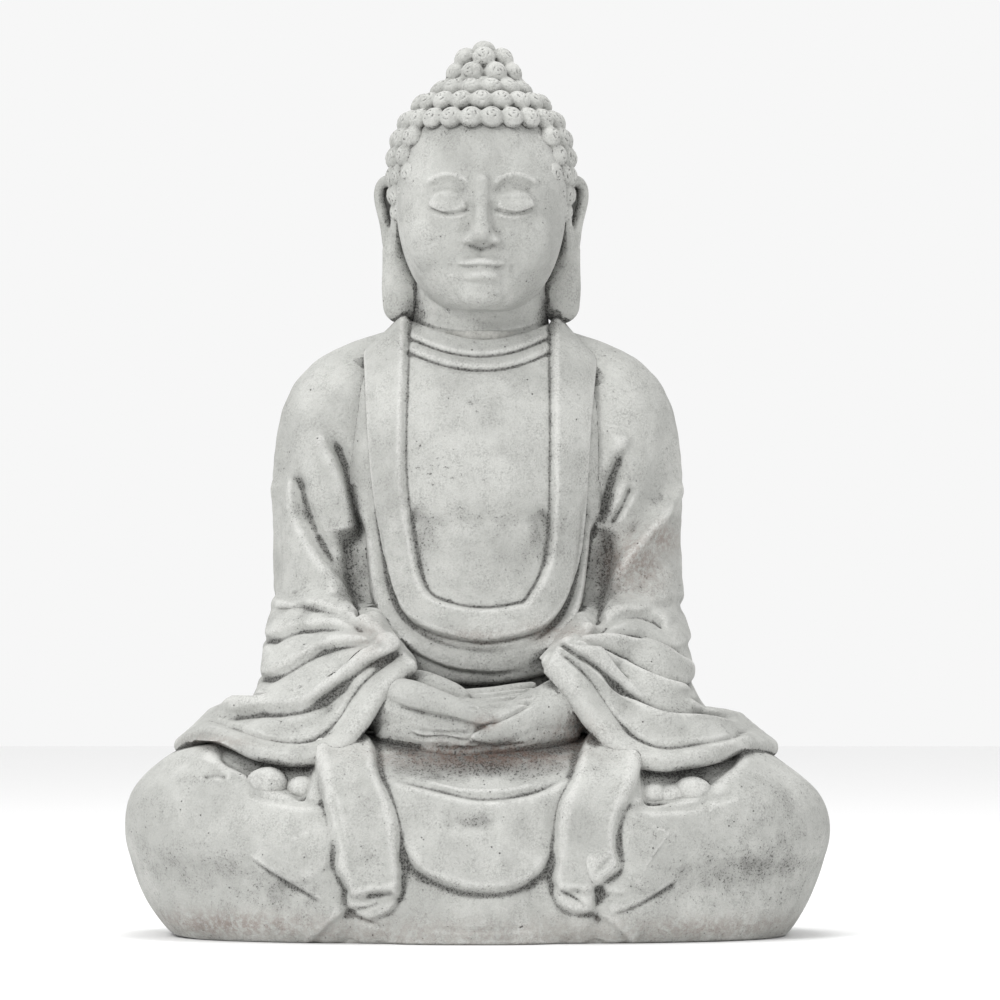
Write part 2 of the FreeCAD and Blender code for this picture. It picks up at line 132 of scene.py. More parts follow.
class Skin:
    """A piece's surface while it is worked: its points in millimetres and their neighbours."""

    def __init__(self, name, clay, grain):
        self.piece = bpy.data.objects.new(name, bpy.data.meshes.new(name))
        bpy.context.scene.collection.objects.link(self.piece)
        self.grain = grain
        self.add(clay)

    def add(self, clay):
        """Presses more clay on and works it into one skin."""
        clay.from_mesh(self.piece.data)
        clay.to_mesh(self.piece.data)
        clay.free()
        fuse = self.piece.modifiers.new("fuse", "REMESH")
        fuse.mode = "VOXEL"
        fuse.voxel_size = self.grain * MM
        settle(self.piece)
        self.take()

    def take(self):
        mesh = self.piece.data
        co = np.empty(len(mesh.vertices) * 3)
        mesh.vertices.foreach_get("co", co)
        self.co = co.reshape(-1, 3) / MM
        edges = np.empty(len(mesh.edges) * 2, np.int32)
        mesh.edges.foreach_get("vertices", edges)
        self.edges = edges.reshape(-1, 2)
        self.degree = np.bincount(edges, minlength=len(self.co))
        self.marks = np.zeros(len(self.co))
        self.aim()

    def put(self):
        self.piece.data.vertices.foreach_set("co", (self.co * MM).ravel())
        self.piece.data.update()

    def spread(self, values, rounds):
        """Values evened out with their neighbours' a number of times."""
        a, b = self.edges.T
        for _ in range(rounds):
            total = [np.bincount(a, v[b], len(v)) + np.bincount(b, v[a], len(v)) for v in values.T]
            values = 0.4 * values + 0.6 * np.array(total).T / self.degree[:, None]
        return values

    def aim(self, rounds=5):
        """Reads which way the surface faces, point by point and more broadly."""
        self.put()
        normals = np.empty(len(self.co) * 3)
        self.piece.data.vertex_normals.foreach_get("vector", normals)
        self.normal = normals.reshape(-1, 3)
        lean = self.spread(self.normal, rounds)
        self.lean = lean / np.linalg.norm(lean, axis=1)[:, None]

    def soften(self, rounds, where=None):
        even = self.spread(self.co, rounds)
        self.co = even if where is None else self.co + (even - self.co) * where[:, None]
        self.aim()

    def near(self, points, view, reach, closed=False, steps=5):
        """Points near a line seen in a view: which, how far, which side, share along and facing."""
        axes, toward = VIEWS[view]
        line = curve(points, steps) if not closed else loop(points, steps)
        flat = self.co[:, axes]
        facing = ramp(self.lean @ np.array(toward, float), 0.02, 0.35)
        inside_box = np.all((flat > line.min(0) - reach) & (flat < line.max(0) + reach), axis=1)
        chosen = np.flatnonzero(inside_box & (facing > 0))
        p = flat[chosen]
        far = np.full(len(p), 1e9)
        side = np.ones(len(p))
        share = np.zeros(len(p))
        lengths = np.hypot(*(line[1:] - line[:-1]).T)
        total = lengths.sum()
        gone = 0.0
        for a, b, length in zip(line, line[1:], lengths):
            d = (b - a) / max(length, 1e-9)
            along = np.clip((p - a) @ d, 0, length)
            off = p - a - along[:, None] * d
            distance = np.hypot(*off.T)
            closer = distance < far
            far[closer] = distance[closer]
            side[closer] = np.sign(d[0] * off[closer, 1] - d[1] * off[closer, 0])
            share[closer] = (gone + along[closer]) / total
            gone += length
        if closed:
            side = np.where(inside(p, line), 1.0, -1.0)
            return chosen, far, side, share, facing[chosen]
        keep = far < reach
        return chosen[keep], far[keep], side[keep], share[keep], facing[chosen[keep]]

    def press(self, points, width, depth, view="front", ends=(0.2, 0.2), stain=0.0):
        """A groove, or a ridge if depth is negative, fading at its ends. Stain darkens it."""
        who, far, _, share, facing = self.near(points, view, width * 3)
        fade = ramp(share, -1e-3, ends[0]) * ramp(1 - share, -1e-3, ends[1])
        share = np.exp(-((far / width) ** 2)) * fade * facing
        self.co[who] -= self.lean[who] * (depth * share)[:, None]
        self.marks[who] = np.maximum(self.marks[who], stain * share)

    def fold(self, points, height, run, edge=1.6, cut=0.35, view="front", ends=(0.15, 0.15)):
        """The edge of a fold: raised on the left of the line, falling off over run."""
        who, far, side, share, facing = self.near(points, view, run * 3.2)
        fade = ramp(share, -1e-3, ends[0]) * ramp(1 - share, -1e-3, ends[1])
        s = far * side
        top = 0.5 * (1 + np.tanh(s / edge)) * np.exp(-((np.maximum(s, 0) / run) ** 1.6))
        under = cut * np.exp(-(((s + edge) / (2.2 * edge)) ** 2))
        amount = height * (top - under) * fade * facing
        self.co[who] += self.lean[who] * amount[:, None]

    def lift(self, points, height, edge=1.6, cut=0.25, view="front", steps=5):
        """Raises what a closed outline holds, with a fine groove around it."""
        who, far, side, _, facing = self.near(points, view, 4 * edge, closed=True, steps=steps)
        s = far * side
        amount = 0.5 * (1 + np.tanh(s / edge)) - cut * np.exp(-(((s + edge) / (1.8 * edge)) ** 2))
        self.co[who] += self.lean[who] * (height * amount * facing)[:, None]

    def scoop(self, points, depth, edge):
        """Sets back the front of what a closed outline holds, whichever way it faces."""
        line = loop(points, 5)
        flat = self.co[:, (0, 2)]
        box = np.all((flat > line.min(0) - 3 * edge) & (flat < line.max(0) + 3 * edge), axis=1)
        chosen = np.flatnonzero(box & (self.co[:, 1] < -60))
        far = np.full(len(chosen), 1e9)
        for a, b in zip(line, line[1:]):
            d = b - a
            share = np.clip((flat[chosen] - a) @ d / max(d @ d, 1e-9), 0, 1)
            far = np.minimum(far, np.linalg.norm(flat[chosen] - a - share[:, None] * d, axis=1))
        s = np.where(inside(flat[chosen], line), far, -far)
        self.co[chosen, 1] += depth * 0.5 * (1 + np.tanh(s / edge))
        self.aim()

    def swell(self, place, size, height):
        """A soft swelling, or a hollow if height is negative."""
        away = np.linalg.norm((self.co - np.array(place)) / np.array(size), axis=1)
        self.co += self.lean * (height * np.exp(-(away ** 2)))[:, None]


def loop(points, steps):
    """A smooth closed run through a few chosen points."""
    p = [points[-1]] + list(points) + list(points[:2])
    run = curve(p, steps)
    return run[steps:-steps]


def inside(p, line):
    """Which points lie inside a closed run."""
    within = np.zeros(len(p), bool)
    for (ax, ay), (bx, by) in zip(line, line[1:]):
        if ay == by:
            continue
        crosses = (ay > p[:, 1]) != (by > p[:, 1])
        within ^= crosses & (p[:, 0] < (bx - ax) * (p[:, 1] - ay) / (by - ay) + ax)
    return within


def other(points):
    """The same line on the other side of the body, run the same way round."""
    return [(-p[0], *p[1:]) for p in points][::-1]


class Paint:
    """A material while it is mixed: nodes by their plain job."""

    def __init__(self, name):
        self.material = bpy.data.materials.new(name)
        self.material.use_nodes = True
        self.tree = self.material.node_tree
        self.skin = self.tree.nodes["Principled BSDF"]
        self.place = self.node("ShaderNodeTexCoord").outputs["Object"]

    def node(self, kind, **set_up):
        made = self.tree.nodes.new(kind)
        for key, value in set_up.items():
            setattr(made, key, value)
        return made

    def feed(self, socket, value):
        if isinstance(value, bpy.types.NodeSocket):
            self.tree.links.new(value, socket)
        else:
            socket.default_value = value

    def sum(self, job, a, b=0.0, c=0.0, hold=False):
        """One step of arithmetic, such as MULTIPLY, ADD or MULTIPLY_ADD."""
        made = self.node("ShaderNodeMath", operation=job, use_clamp=hold)
        for socket, value in zip(made.inputs, (a, b, c)):
            self.feed(socket, value)
        return made.outputs[0]

    def mottle(self, scale, detail=4.0, rough=0.6, stretch=None):
        """Cloudy noise with features of about 1 / scale metres."""
        made = self.node("ShaderNodeTexNoise")
        place = self.place
        if stretch:
            squeeze = self.node("ShaderNodeMapping")
            self.feed(squeeze.inputs["Vector"], place)
            squeeze.inputs["Scale"].default_value = stretch
            place = squeeze.outputs[0]
        self.feed(made.inputs["Vector"], place)
        made.inputs["Scale"].default_value = scale
        made.inputs["Detail"].default_value = detail
        made.inputs["Roughness"].default_value = rough
        return made.outputs["Fac"]

    def cells(self, scale):
        made = self.node("ShaderNodeTexVoronoi")
        self.feed(made.inputs["Vector"], self.place)
        made.inputs["Scale"].default_value = scale
        return made.outputs["Distance"]

    def step(self, value, low, high):
        """A soft step from 0 at low to 1 at high."""
        made = self.node("ShaderNodeMapRange", interpolation_type="SMOOTHSTEP")
        for socket, number in zip(made.inputs, (value, low, high, 0.0, 1.0)):
            self.feed(socket, number)
        return made.outputs[0]

    def surface_layer(self, name):
        return self.node("ShaderNodeAttribute", attribute_name=name).outputs["Fac"]

    def blend(self, share, under, over):
        made = self.node("ShaderNodeMix", data_type="RGBA")
        self.feed(made.inputs[0], share)
        for socket, colour in ((made.inputs[6], under), (made.inputs[7], over)):
            self.feed(socket, colour if isinstance(colour, bpy.types.NodeSocket) else (*colour, 1))
        return made.outputs[2]

    def relief(self, *layers):
        """Bumps laid one over the other, each a height with its depth in millimetres."""
        last = None
        for height, depth in layers:
            made = self.node("ShaderNodeBump")
            self.feed(made.inputs["Height"], height)
            made.inputs["Distance"].default_value = depth * MM
            if last:
                self.feed(made.inputs["Normal"], last)
            last = made.outputs[0]
        self.feed(self.skin.inputs["Normal"], last)

    def coat(self, colour, roughness, metallic=0.0):
        self.feed(self.skin.inputs["Base Color"], colour)
        self.feed(self.skin.inputs["Roughness"], roughness)
        self.skin.inputs["Metallic"].default_value = metallic


def washed_stone():
    """Pale wash over darker cement: grime in hollows, painted shade under things and where castings
    meet, specks, pinholes and rubbed brown edges.
    """
    paint = Paint("washed_stone")
    hollow = paint.surface_layer("hollow")
    crest = paint.surface_layer("crest")
    rub = paint.surface_layer("rub")
    cloud = paint.mottle(14, 5, 0.62)
    patch = paint.mottle(62, 6, 0.68)
    grain = paint.mottle(620, 3, 0.75)
    coarse = paint.mottle(260, 4, 0.7)
    tone = paint.blend(paint.step(cloud, 0.36, 0.66), (0.425, 0.429, 0.408), (0.544, 0.548, 0.523))
    tone = paint.blend(paint.sum("MULTIPLY", crest, 0.55, hold=True), tone, (0.69, 0.69, 0.665))
    dust = paint.sum("MULTIPLY", paint.step(grain, 0.42, 0.62), paint.step(patch, 0.35, 0.65))
    tone = paint.blend(paint.sum("MULTIPLY", dust, 0.55), tone, (0.235, 0.235, 0.222))
    sand = paint.step(paint.mottle(1100, 2, 0.8), 0.42, 0.62)
    tone = paint.blend(paint.sum("MULTIPLY", sand, 0.24), tone, (0.27, 0.27, 0.257))
    streak = paint.step(paint.mottle(22, 6, 0.72, (1, 1, 0.5)), 0.50, 0.72)
    tone = paint.blend(paint.sum("MULTIPLY", streak, 0.30), tone, (0.23, 0.23, 0.217))
    # the hollow layer holds grime in the hollows and painted shade under things and where castings
    # meet; it darkens the tone here, broken up by patches, and sets where specks gather
    wash_and_shade = paint.sum("MULTIPLY_ADD", paint.sum("SUBTRACT", patch, 0.5), 0.9, hollow, hold=True)
    tone = paint.blend(paint.sum("MULTIPLY", paint.step(wash_and_shade, 0.12, 0.95), 0.82), tone,
                       (0.115, 0.115, 0.107))
    damp = paint.step(paint.mottle(34, 5, 0.7, (1, 1, 0.6)), 0.56, 0.76)
    tone = paint.blend(paint.sum("MULTIPLY", damp, 0.28), tone, (0.255, 0.255, 0.238))
    bar = paint.sum("MULTIPLY_ADD", wash_and_shade, -0.20, 0.69)
    speck = paint.step(paint.sum("SUBTRACT", grain, bar), 0.0, 0.035)
    tone = paint.blend(paint.sum("MULTIPLY", speck, 0.85), tone, (0.03, 0.029, 0.027))
    flake_zone = paint.step(paint.mottle(26, 4, 0.6), 0.54, 0.68)
    flake = paint.sum("MULTIPLY", flake_zone, paint.step(coarse, 0.60, 0.66))
    tone = paint.blend(paint.sum("MULTIPLY", flake, 0.7), tone, (0.085, 0.083, 0.078))
    pore = paint.step(paint.cells(150), 0.13, 0.06)
    pore = paint.sum("MULTIPLY", pore, paint.step(paint.mottle(90, 2), 0.56, 0.62))
    tone = paint.blend(paint.sum("MULTIPLY", pore, 0.8), tone, (0.051, 0.049, 0.046))
    brown = paint.sum("MULTIPLY", rub, paint.step(paint.mottle(180, 5, 0.75), 0.36, 0.60))
    tone = paint.blend(paint.sum("MULTIPLY", brown, 0.85), tone, (0.17, 0.106, 0.081))
    paint.coat(tone, paint.sum("MULTIPLY_ADD", patch, 0.16, 0.76))
    paint.relief((patch, 1.9), (coarse, 1.1), (grain, 0.75),
                 (paint.sum("MULTIPLY", pore, -1.0), 0.9),
                 (paint.sum("MULTIPLY", flake, -1.0), 0.35))
    return paint.material


stone = washed_stone()
skins = []
clay = bmesh.new()
stack(clay, [
    (0, 238, 148, 170, 2, -10, 2.6),
    (12, 248, 154, 177, 1, -10, 2.6),
    (32, 260, 157, 182, 0, -10, 2.5),
    (60, 270, 157, 183, 0, -10, 2.4),
    (88, 273, 155, 180, 0, -10, 2.4),
    (112, 266, 148, 172, -2, -10, 2.4),
    (132, 246, 134, 163, -5, -10, 2.4),
    (147, 220, 112, 156, -5, -10, 2.35),
    (158, 168, 82, 150, -5, -10, 2.3),
])
stack(clay, [
    (0, 94, 167, 80, -4, -10, 3.2),
    (10, 93, 167, 80, -4, -10, 3.2),
    (26, 86, 165, 80, -3, -10, 3.0),
    (60, 86, 163, 80, 0, -10, 2.8),
    (84, 86, 162, 80, 0, -10, 2.8),
    (108, 84, 154, 80, 2, -10, 2.6),
    (130, 82, 138, 80, 2, -10, 2.6),
])
legs = Skin("legs", clay, 1.6)
legs.soften(4)
# the hollows under the sleeves' hems, where the toes lie
legs.scoop([(-200, 140), (-180, 124), (-150, 111), (-128, 107), (-124, 150), (-150, 162)], 17, 2.2)
legs.scoop([(200, 140), (186, 121), (160, 107), (124, 104), (126, 150), (150, 162)], 17, 2.2)
toes = bmesh.new()
ball(toes, (-161, -122, 120), (12.5, 14, 10), (0, -15, 0))
ball(toes, (-133, -124, 116), (9, 11, 7), (0, 12, 0))
ball(toes, (-122, -121, 111), (8, 10, 5.5))
ball(toes, (-146, -113, 112), (14, 12, 6))
ball(toes, (165, -120, 113), (12, 14, 9.5), (0, 20, 0))
ball(toes, (148, -121, 109), (12, 12, 7.5), (0, -8, 0))
ball(toes, (132, -123, 110), (10.5, 12, 7.5), (0, -8, 0))
ball(toes, (121, -120, 108), (9, 11, 6))
legs.add(toes)
legs.soften(4)
# thighs, standing proud of the shins
thigh = [(-104, 116), (-97, 85), (-95, 62), (-102, 50), (-122, 44), (-150, 54), (-190, 62),
         (-235, 58), (-290, 70), (-310, 110), (-280, 160), (-200, 180), (-130, 150)]
legs.lift(thigh, 5, 9, 0.05)
legs.lift(other(thigh), 5, 9, 0.05)
legs.fold([(-164, 46), (-132, 48), (-118, 56), (-110, 68), (-109, 90), (-120, 108)], 3, 30, 3.0,
          0.15, ends=(0.35, 0.3))
legs.fold([(120, 112), (111, 100), (108, 80), (111, 56), (121, 42), (148, 45)], 3, 30, 3.0, 0.15,
          ends=(0.3, 0.3))
legs.aim()
# shins, with a crease of cloth across each, and the ledge the toes rest on
for x in (-1, 1):
    legs.press([(250 * x, 52), (215 * x, 42), (170 * x, 40), (128 * x, 30)], 16, 4)
legs.fold([(-176, 68), (-154, 53), (-134, 42), (-114, 30)], 2.2, 14, 1.2, 0.4)
legs.fold([(98, 23), (120, 30), (143, 43), (152, 49)], 2.4, 14, 1.2, 0.45)
legs.fold([(84, 70), (88, 52), (98, 40), (118, 38)], 2.5, 18, 2.0)
legs.press([(-183, 123), (-168, 113), (-150, 109), (-128, 107), (-110, 107)], 3.5, 2.5)
legs.press([(184, 113), (165, 105), (140, 104), (120, 105), (108, 107)], 3.5, 2.5)
legs.fold([(-252, 130), (-225, 137), (-196, 134), (-168, 121)], 3, 16, 2.2)
legs.press([(-212, 125), (-200, 128), (-190, 125)], 2.6, 2.6)
legs.fold([(200, 112), (185, 107), (176, 108)], 2, 10, 1.8)
legs.aim()
# the right hanging end of the robe, with its folded tip
band = [(-124, 152), (-100, 156), (-82, 152), (-76, 128), (-70, 114), (-63, 91), (-59, 60),
        (-60, 39), (-66, 41), (-80, 40), (-92, 38), (-100, 47), (-106, 60), (-108, 82), (-114, 104),
        (-120, 130)]
legs.lift(band, 8, 2.6, 0.18)
legs.lift([(-60, 47), (-68, 46), (-84, 44), (-98, 38), (-95, 24), (-80, 20), (-64, 28)], 3.5, 2.0,
          0.3)
legs.press([(-94, 26), (-84, 28), (-72, 33)], 1.3, 1.0, stain=0.3)
legs.swell((-77, -160, 73), (11, 30, 12), -1.6)
legs.press([(-112, 118), (-106, 96), (-100, 70)], 2.4, 1.2)
# the left hanging end, its corner turned over
band = [(84, 154), (102, 156), (124, 150), (120, 124), (114, 110), (109, 100), (105, 84), (105, 73),
        (107, 59), (96, 50), (86, 43), (73, 43), (61, 43), (58, 52), (59, 61), (61, 80), (64, 100),
        (72, 121)]
legs.lift(band, 8, 2.6, 0.18)
legs.lift([(60, 43), (85, 44), (87, 31), (80, 23), (64, 29)], 5, 2.2, 0.25)
legs.press([(60, 42), (74, 35), (84, 27)], 1.8, 2.0)
legs.press([(104, 70), (94, 60), (84, 50)], 2.0, 1.0, stain=0.25)
legs.aim()
# the apron cloth: its rounded hem, its top edge and the pleats above
legs.fold([(-58, 84), (-46, 59), (-22, 46), (3, 41), (28, 44), (47, 56), (58, 76)], 8, 34, 3.0,
          0.28)
legs.fold([(74, 128), (43, 113), (7, 108), (-20, 112), (-72, 125)], 5.5, 30, 1.9, 0.5)
legs.fold([(-42, 128), (-20, 121), (-3, 119), (28, 120), (46, 127)], -3, 12, 1.6)
legs.press([(-70, 138), (-36, 130), (4, 127), (44, 130), (72, 138)], 7, 4)
flat = np.exp(-((legs.co[:, 0] / 50) ** 2) - ((legs.co[:, 2] - 82) / 17) ** 2) * (legs.co[:,
                                                                                          1] < -100)
legs.soften(12, flat)
legs.swell((-3, -160, 93), (20, 30, 8), -3.5)
# the steps between the knees and the apron, down to the foot rim
legs.press([(-44, 14), (0, 12), (52, 14)], 1.8, 1.2)
legs.press([(-104, 44), (-99, 26), (-98, 10), (-97, -3)], 7, 3.4, ends=(0.3, 0))
legs.press([(96, 46), (92, 26), (90, 10), (90, -3)], 7, 3.4, ends=(0.3, 0))
legs.fold([(-132, -2), (-118, 10), (-98, 26), (-80, 30)], 3, 16, 2.2)
legs.fold([(72, 28), (92, 22), (108, 10), (120, -2)], 3, 16, 2.2)
legs.press([(-94, 22), (-80, 16), (-66, 13)], 1.8, 1.2)
# soft folds behind
for x in (-1, 1):
    legs.fold([(130 * x, 140), (150 * x, 90), (140 * x, 40), (120 * x, 6)][::-x], 3, 30, 4,
              view="back")
    legs.fold([(60 * x, 150), (70 * x, 100), (50 * x, 50), (40 * x, 8)][::-x], 3, 30, 4,
              view="back")
legs.press([(-200, 16), (-100, 13), (0, 12), (100, 13), (200, 16)], 2.2, 1.4, view="back")
# the rebate under the foot, a little wider and deeper than the base plate that goes in it
rebate_gap = 1.5
rebate_spare = 0.6
rim_blur = 0.9
directions = 180
plate = frame["nodes"]["base_plate"]
plate_points = np.array([plate.matrix_world @ vert.co for vert in plate.data.vertices]) / MM
plate_middle = 0.5 * (plate_points.min(0) + plate_points.max(0))[:2]
out = plate_points[:, :2] - plate_middle
turned = np.degrees(np.arctan2(out[:, 1], out[:, 0])) * directions / 360
turned = np.round(turned).astype(int) % directions
plate_reach = np.zeros(directions)
np.maximum.at(plate_reach, turned, np.hypot(*out.T))
known = np.flatnonzero(plate_reach > 0.8 * np.median(plate_reach))
out = legs.co[:, :2] - plate_middle
far = np.hypot(*out.T)
turned = np.degrees(np.arctan2(out[:, 1], out[:, 0])) * directions / 360
rim = np.interp(turned, known, plate_reach[known], period=directions) + rebate_gap
under = legs.co[:, 2] < 3
on_rim = under & (abs(far - rim) < rim_blur)
legs.co[on_rim, :2] = plate_middle + out[on_rim] * (rim / np.maximum(far, 1))[on_rim, None]
legs.co[under & (far < rim), 2] = plate_points[:, 2].max() + rebate_spare
legs.aim()
legs.piece.data.materials.append(stone)
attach(legs.piece, "root")
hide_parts("legs_casting")
skins.append(legs)

# ---- Chest, robe front and collar ----------------------------------------------------------------
# The front half of the body: bare chest, the broad band of the robe's opening and the folds around
# it. A thin shell of fibre cement from its own mould, bonded to the back half down both sides.
neck_lines = [
    [(-56, 467), (-26, 455), (2, 451), (30, 455), (58, 467)],
    [(-58, 456), (-26, 444), (4, 440), (32, 444), (60, 456)],
]
clay = bmesh.new()
stack(clay, [
    (150, 96, 62, 2, 0, 45, 2.4),
    (180, 102, 74, 2, 0, 45, 2.4),
    (200, 108, 92, 2, 0, 45, 2.3),
    (228, 112, 104, 2, 0, 45, 2.2),
    (262, 110, 98, 2, 0, 45, 2.2),
    (300, 107, 91, 2, 0, 45, 2.2),
    (345, 110, 92, 2, 0, 45, 2.2),
    (385, 112, 88, 2, 0, 45, 2.2),
    (420, 108, 78, 2, 0, 45, 2.2),
    (445, 96, 67, 2, 0, 45, 2.2),
    (460, 82, 60, 2, 0, 45, 2.1),
    (472, 70, 57, 2, 1, 45, 2.0),
    (484, 59, 56, 2, 2, 45, 2.0),
])
chest = Skin("chest_front", clay, 1.56)
# the top is cut down to the collar line
collar = curve([(-90, 486), (-58, 481), (-30, 470), (4, 463), (38, 469), (62, 479), (96, 486)], 8)
chest.co[:, 2] = np.minimum(chest.co[:, 2], np.interp(chest.co[:, 0], collar[:, 0], collar[:, 1]))
chest.soften(6)
# breast and belly
chest.swell((-27, -42, 356), (30, 40, 26), 2.5)
chest.swell((31, -42, 356), (30, 40, 26), 2.5)
chest.swell((3, -46, 288), (42, 40, 24), 3.5)
chest.press([(-54, 330), (-30, 322), (3, 325), (34, 322), (56, 330)], 8, 2.6, ends=(0.05, 0.05))
chest.press([(3, 420), (3, 370), (3, 335)], 12, 1.0)
chest.aim()
# the broad band around the robe's opening
opening = [(-90, 486), (-88, 460), (-83, 374), (-75, 312), (-63, 259), (-38, 238), (4, 229),
           (50, 239), (71, 265), (81, 310), (87, 397), (93, 458), (96, 486), (59, 486), (58, 465),
           (58, 362), (55, 296), (40, 262), (29, 256), (4, 253), (-21, 257), (-40, 268), (-49, 302),
           (-57, 362), (-55, 465), (-55, 486)]
chest.lift(opening, 5.5, 1.2, 0.2)
chest.aim()
# pleats beside the band, and the low loop of cloth over the belly
chest.press([(-84, 350), (-78, 312), (-70, 268), (-52, 240), (-22, 225), (12, 220), (40, 224)], 3.6,
            2.8)
chest.press([(86, 350), (83, 312), (77, 272), (66, 248), (50, 232), (30, 224)], 3.4, 3.4)
chest.fold([(-98, 352), (-87, 305), (-82, 263), (-68, 236), (-30, 213), (10, 207), (40, 210)], 3.6,
           9, 1.6)
chest.fold([(34, 210), (56, 222), (74, 240), (84, 263), (91, 302), (97, 352)], 3.6, 9, 1.6)
chest.fold([(-84, 236), (-70, 219), (-45, 201), (4, 195), (52, 203), (72, 219), (84, 236)], 6, 20,
           2.2, 0.6)
chest.press([(-70, 300), (-66, 275), (-58, 255)], 6, 1.2)
# the valley beside each arm
for x in (-1, 1):
    chest.press([(99 * x, 330), (95 * x, 290), (90 * x, 256), (84 * x, 230)], 7, 9)
for line in neck_lines:
    chest.fold(line, 1.8, 7, 1.1, 0.9, ends=(0.05, 0.05))
    chest.press([(x, z - 1) for x, z in line], 1.1, 0.6, ends=(0.1, 0.1), stain=0.7)
chest.aim()
chest.piece.data.materials.append(stone)
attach(chest.piece, "root")
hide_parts("torso_front_shell")
skins.append(chest)

# ---- Back of the robe ----------------------------------------------------------------------------
# The back half of the body, with the robe's long folds. A thin shell of fibre cement like the front
# half, bonded to it down both sides and bedded on the seat.
clay = bmesh.new()
stack(clay, [
    (145, 134, 2, 101, 0, 44, 2.4),
    (158, 131, 2, 99, 0, 44, 2.4),
    (176, 122, 2, 96, 0, 44, 2.4),
    (205, 114, 2, 93, 0, 44, 2.4),
    (260, 110, 2, 89, 0, 44, 2.3),
    (320, 110, 2, 88, 0, 44, 2.3),
    (370, 112, 2, 88, 0, 44, 2.3),
    (410, 108, 2, 82, 0, 44, 2.2),
    (440, 96, 2, 70, 0, 44, 2.2),
    (458, 80, 2, 58, 0, 44, 2.1),
    (472, 62, 2, 47, 1, 44, 2.0),
    (480, 50, 2, 44, 2, 44, 2.0),
])
back = Skin("robe_back", clay, 1.6)
back.soften(6)
for across, drop, height in ((0, 0, 7.5), (36, 12, 6.5), (-38, -10, 7.0), (70, 36, 5.5),
                             (-74, -30, 6.0)):
    back.fold([(-84 + across, 196 + drop), (-36 + across, 250 + drop), (10 + across, 330 + drop),
               (60 + across, 430 + drop)], height, 26, 2.0, 0.5, view="back", ends=(0.3, 0.35))
back.fold([(-96, 440), (-50, 455), (0, 459), (50, 455), (96, 440)], 4.0, 14, 1.4, 0.5, view="back")
back.fold([(104, 174), (50, 166), (0, 164), (-50, 166), (-104, 174)], 5.0, 16, 1.8, 0.5,
          view="back")
back.press([(0, 440), (2, 380), (-4, 300), (0, 220)], 16, 2.0, view="back")
back.aim()
back.piece.data.materials.append(stone)
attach(back.piece, "root")
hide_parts("torso_back_shell")
skins.append(back)

# ---- Arms and sleeves ----------------------------------------------------------------------------
# Each arm is a casting of its own, from the shoulder to the wide sleeve that lies on the thigh. It
# is pinned and bonded to the body, and its hem stands free of the leg below.
# for the left arm, 1, and the right, -1: the hem's edge seen from the front, the roll of cloth along
# it from the lap round to the back, and the line that the draped cloth above it reaches
hems = {
    1: [(36, 226), (52, 211), (64, 190), (77, 166), (92, 149), (107, 137), (134, 129), (162, 132),
        (186, 137), (205, 146), (240, 142)],
    -1: [(-244, 146), (-220, 151), (-201, 152), (-183, 145), (-164, 139), (-133, 134), (-107, 136),
         (-93, 147), (-84, 164), (-76, 180), (-65, 192), (-49, 207), (-36, 222)],
}


hem_rolls = {
    1: [(56, -100, 213), (66, -106, 200), (77, -112, 184), (87, -116, 169), (98, -119, 156),
        (112, -123, 144), (138, -125, 136), (164, -119, 139), (188, -94, 144), (206, -72, 150),
        (220, -46, 147), (227, -16, 145), (226, 20, 147), (214, 52, 150), (190, 76, 153),
        (160, 90, 155), (128, 97, 156), (104, 108, 157)],
    -1: [(-53, -100, 209), (-66, -106, 199), (-78, -112, 184), (-88, -116, 169), (-98, -119, 155),
         (-111, -123, 144), (-136, -125, 140), (-166, -119, 144), (-190, -94, 154),
         (-208, -72, 158), (-222, -46, 152), (-229, -16, 147), (-228, 20, 148), (-216, 52, 151),
         (-192, 76, 153), (-162, 90, 155), (-130, 97, 156), (-104, 108, 157)],
}


drapes = {
    1: [(70, -92, 226), (83, -92, 217), (96, -92, 204), (112, -90, 190), (134, -88, 178),
        (160, -76, 174), (186, -54, 170), (200, -24, 167), (202, 14, 166), (192, 44, 168),
        (172, 66, 170), (150, 78, 172), (126, 84, 174), (104, 96, 176)],
    -1: [(-68, -92, 224), (-80, -92, 215), (-92, -92, 204), (-110, -90, 190), (-134, -88, 179),
         (-160, -76, 176), (-188, -54, 174), (-203, -24, 170), (-205, 14, 168), (-195, 44, 169),
         (-175, 66, 171), (-152, 78, 173), (-128, 84, 175), (-104, 96, 177)],
}


def even(points, count):
    """The same smooth run with its points spaced evenly."""
    run = curve(points, 8)
    gone = np.r_[0, np.cumsum(np.linalg.norm(np.diff(run, axis=0), axis=1))]
    stops = np.linspace(0, gone[-1], count)
    return np.array([np.interp(stops, gone, values) for values in run.T]).T


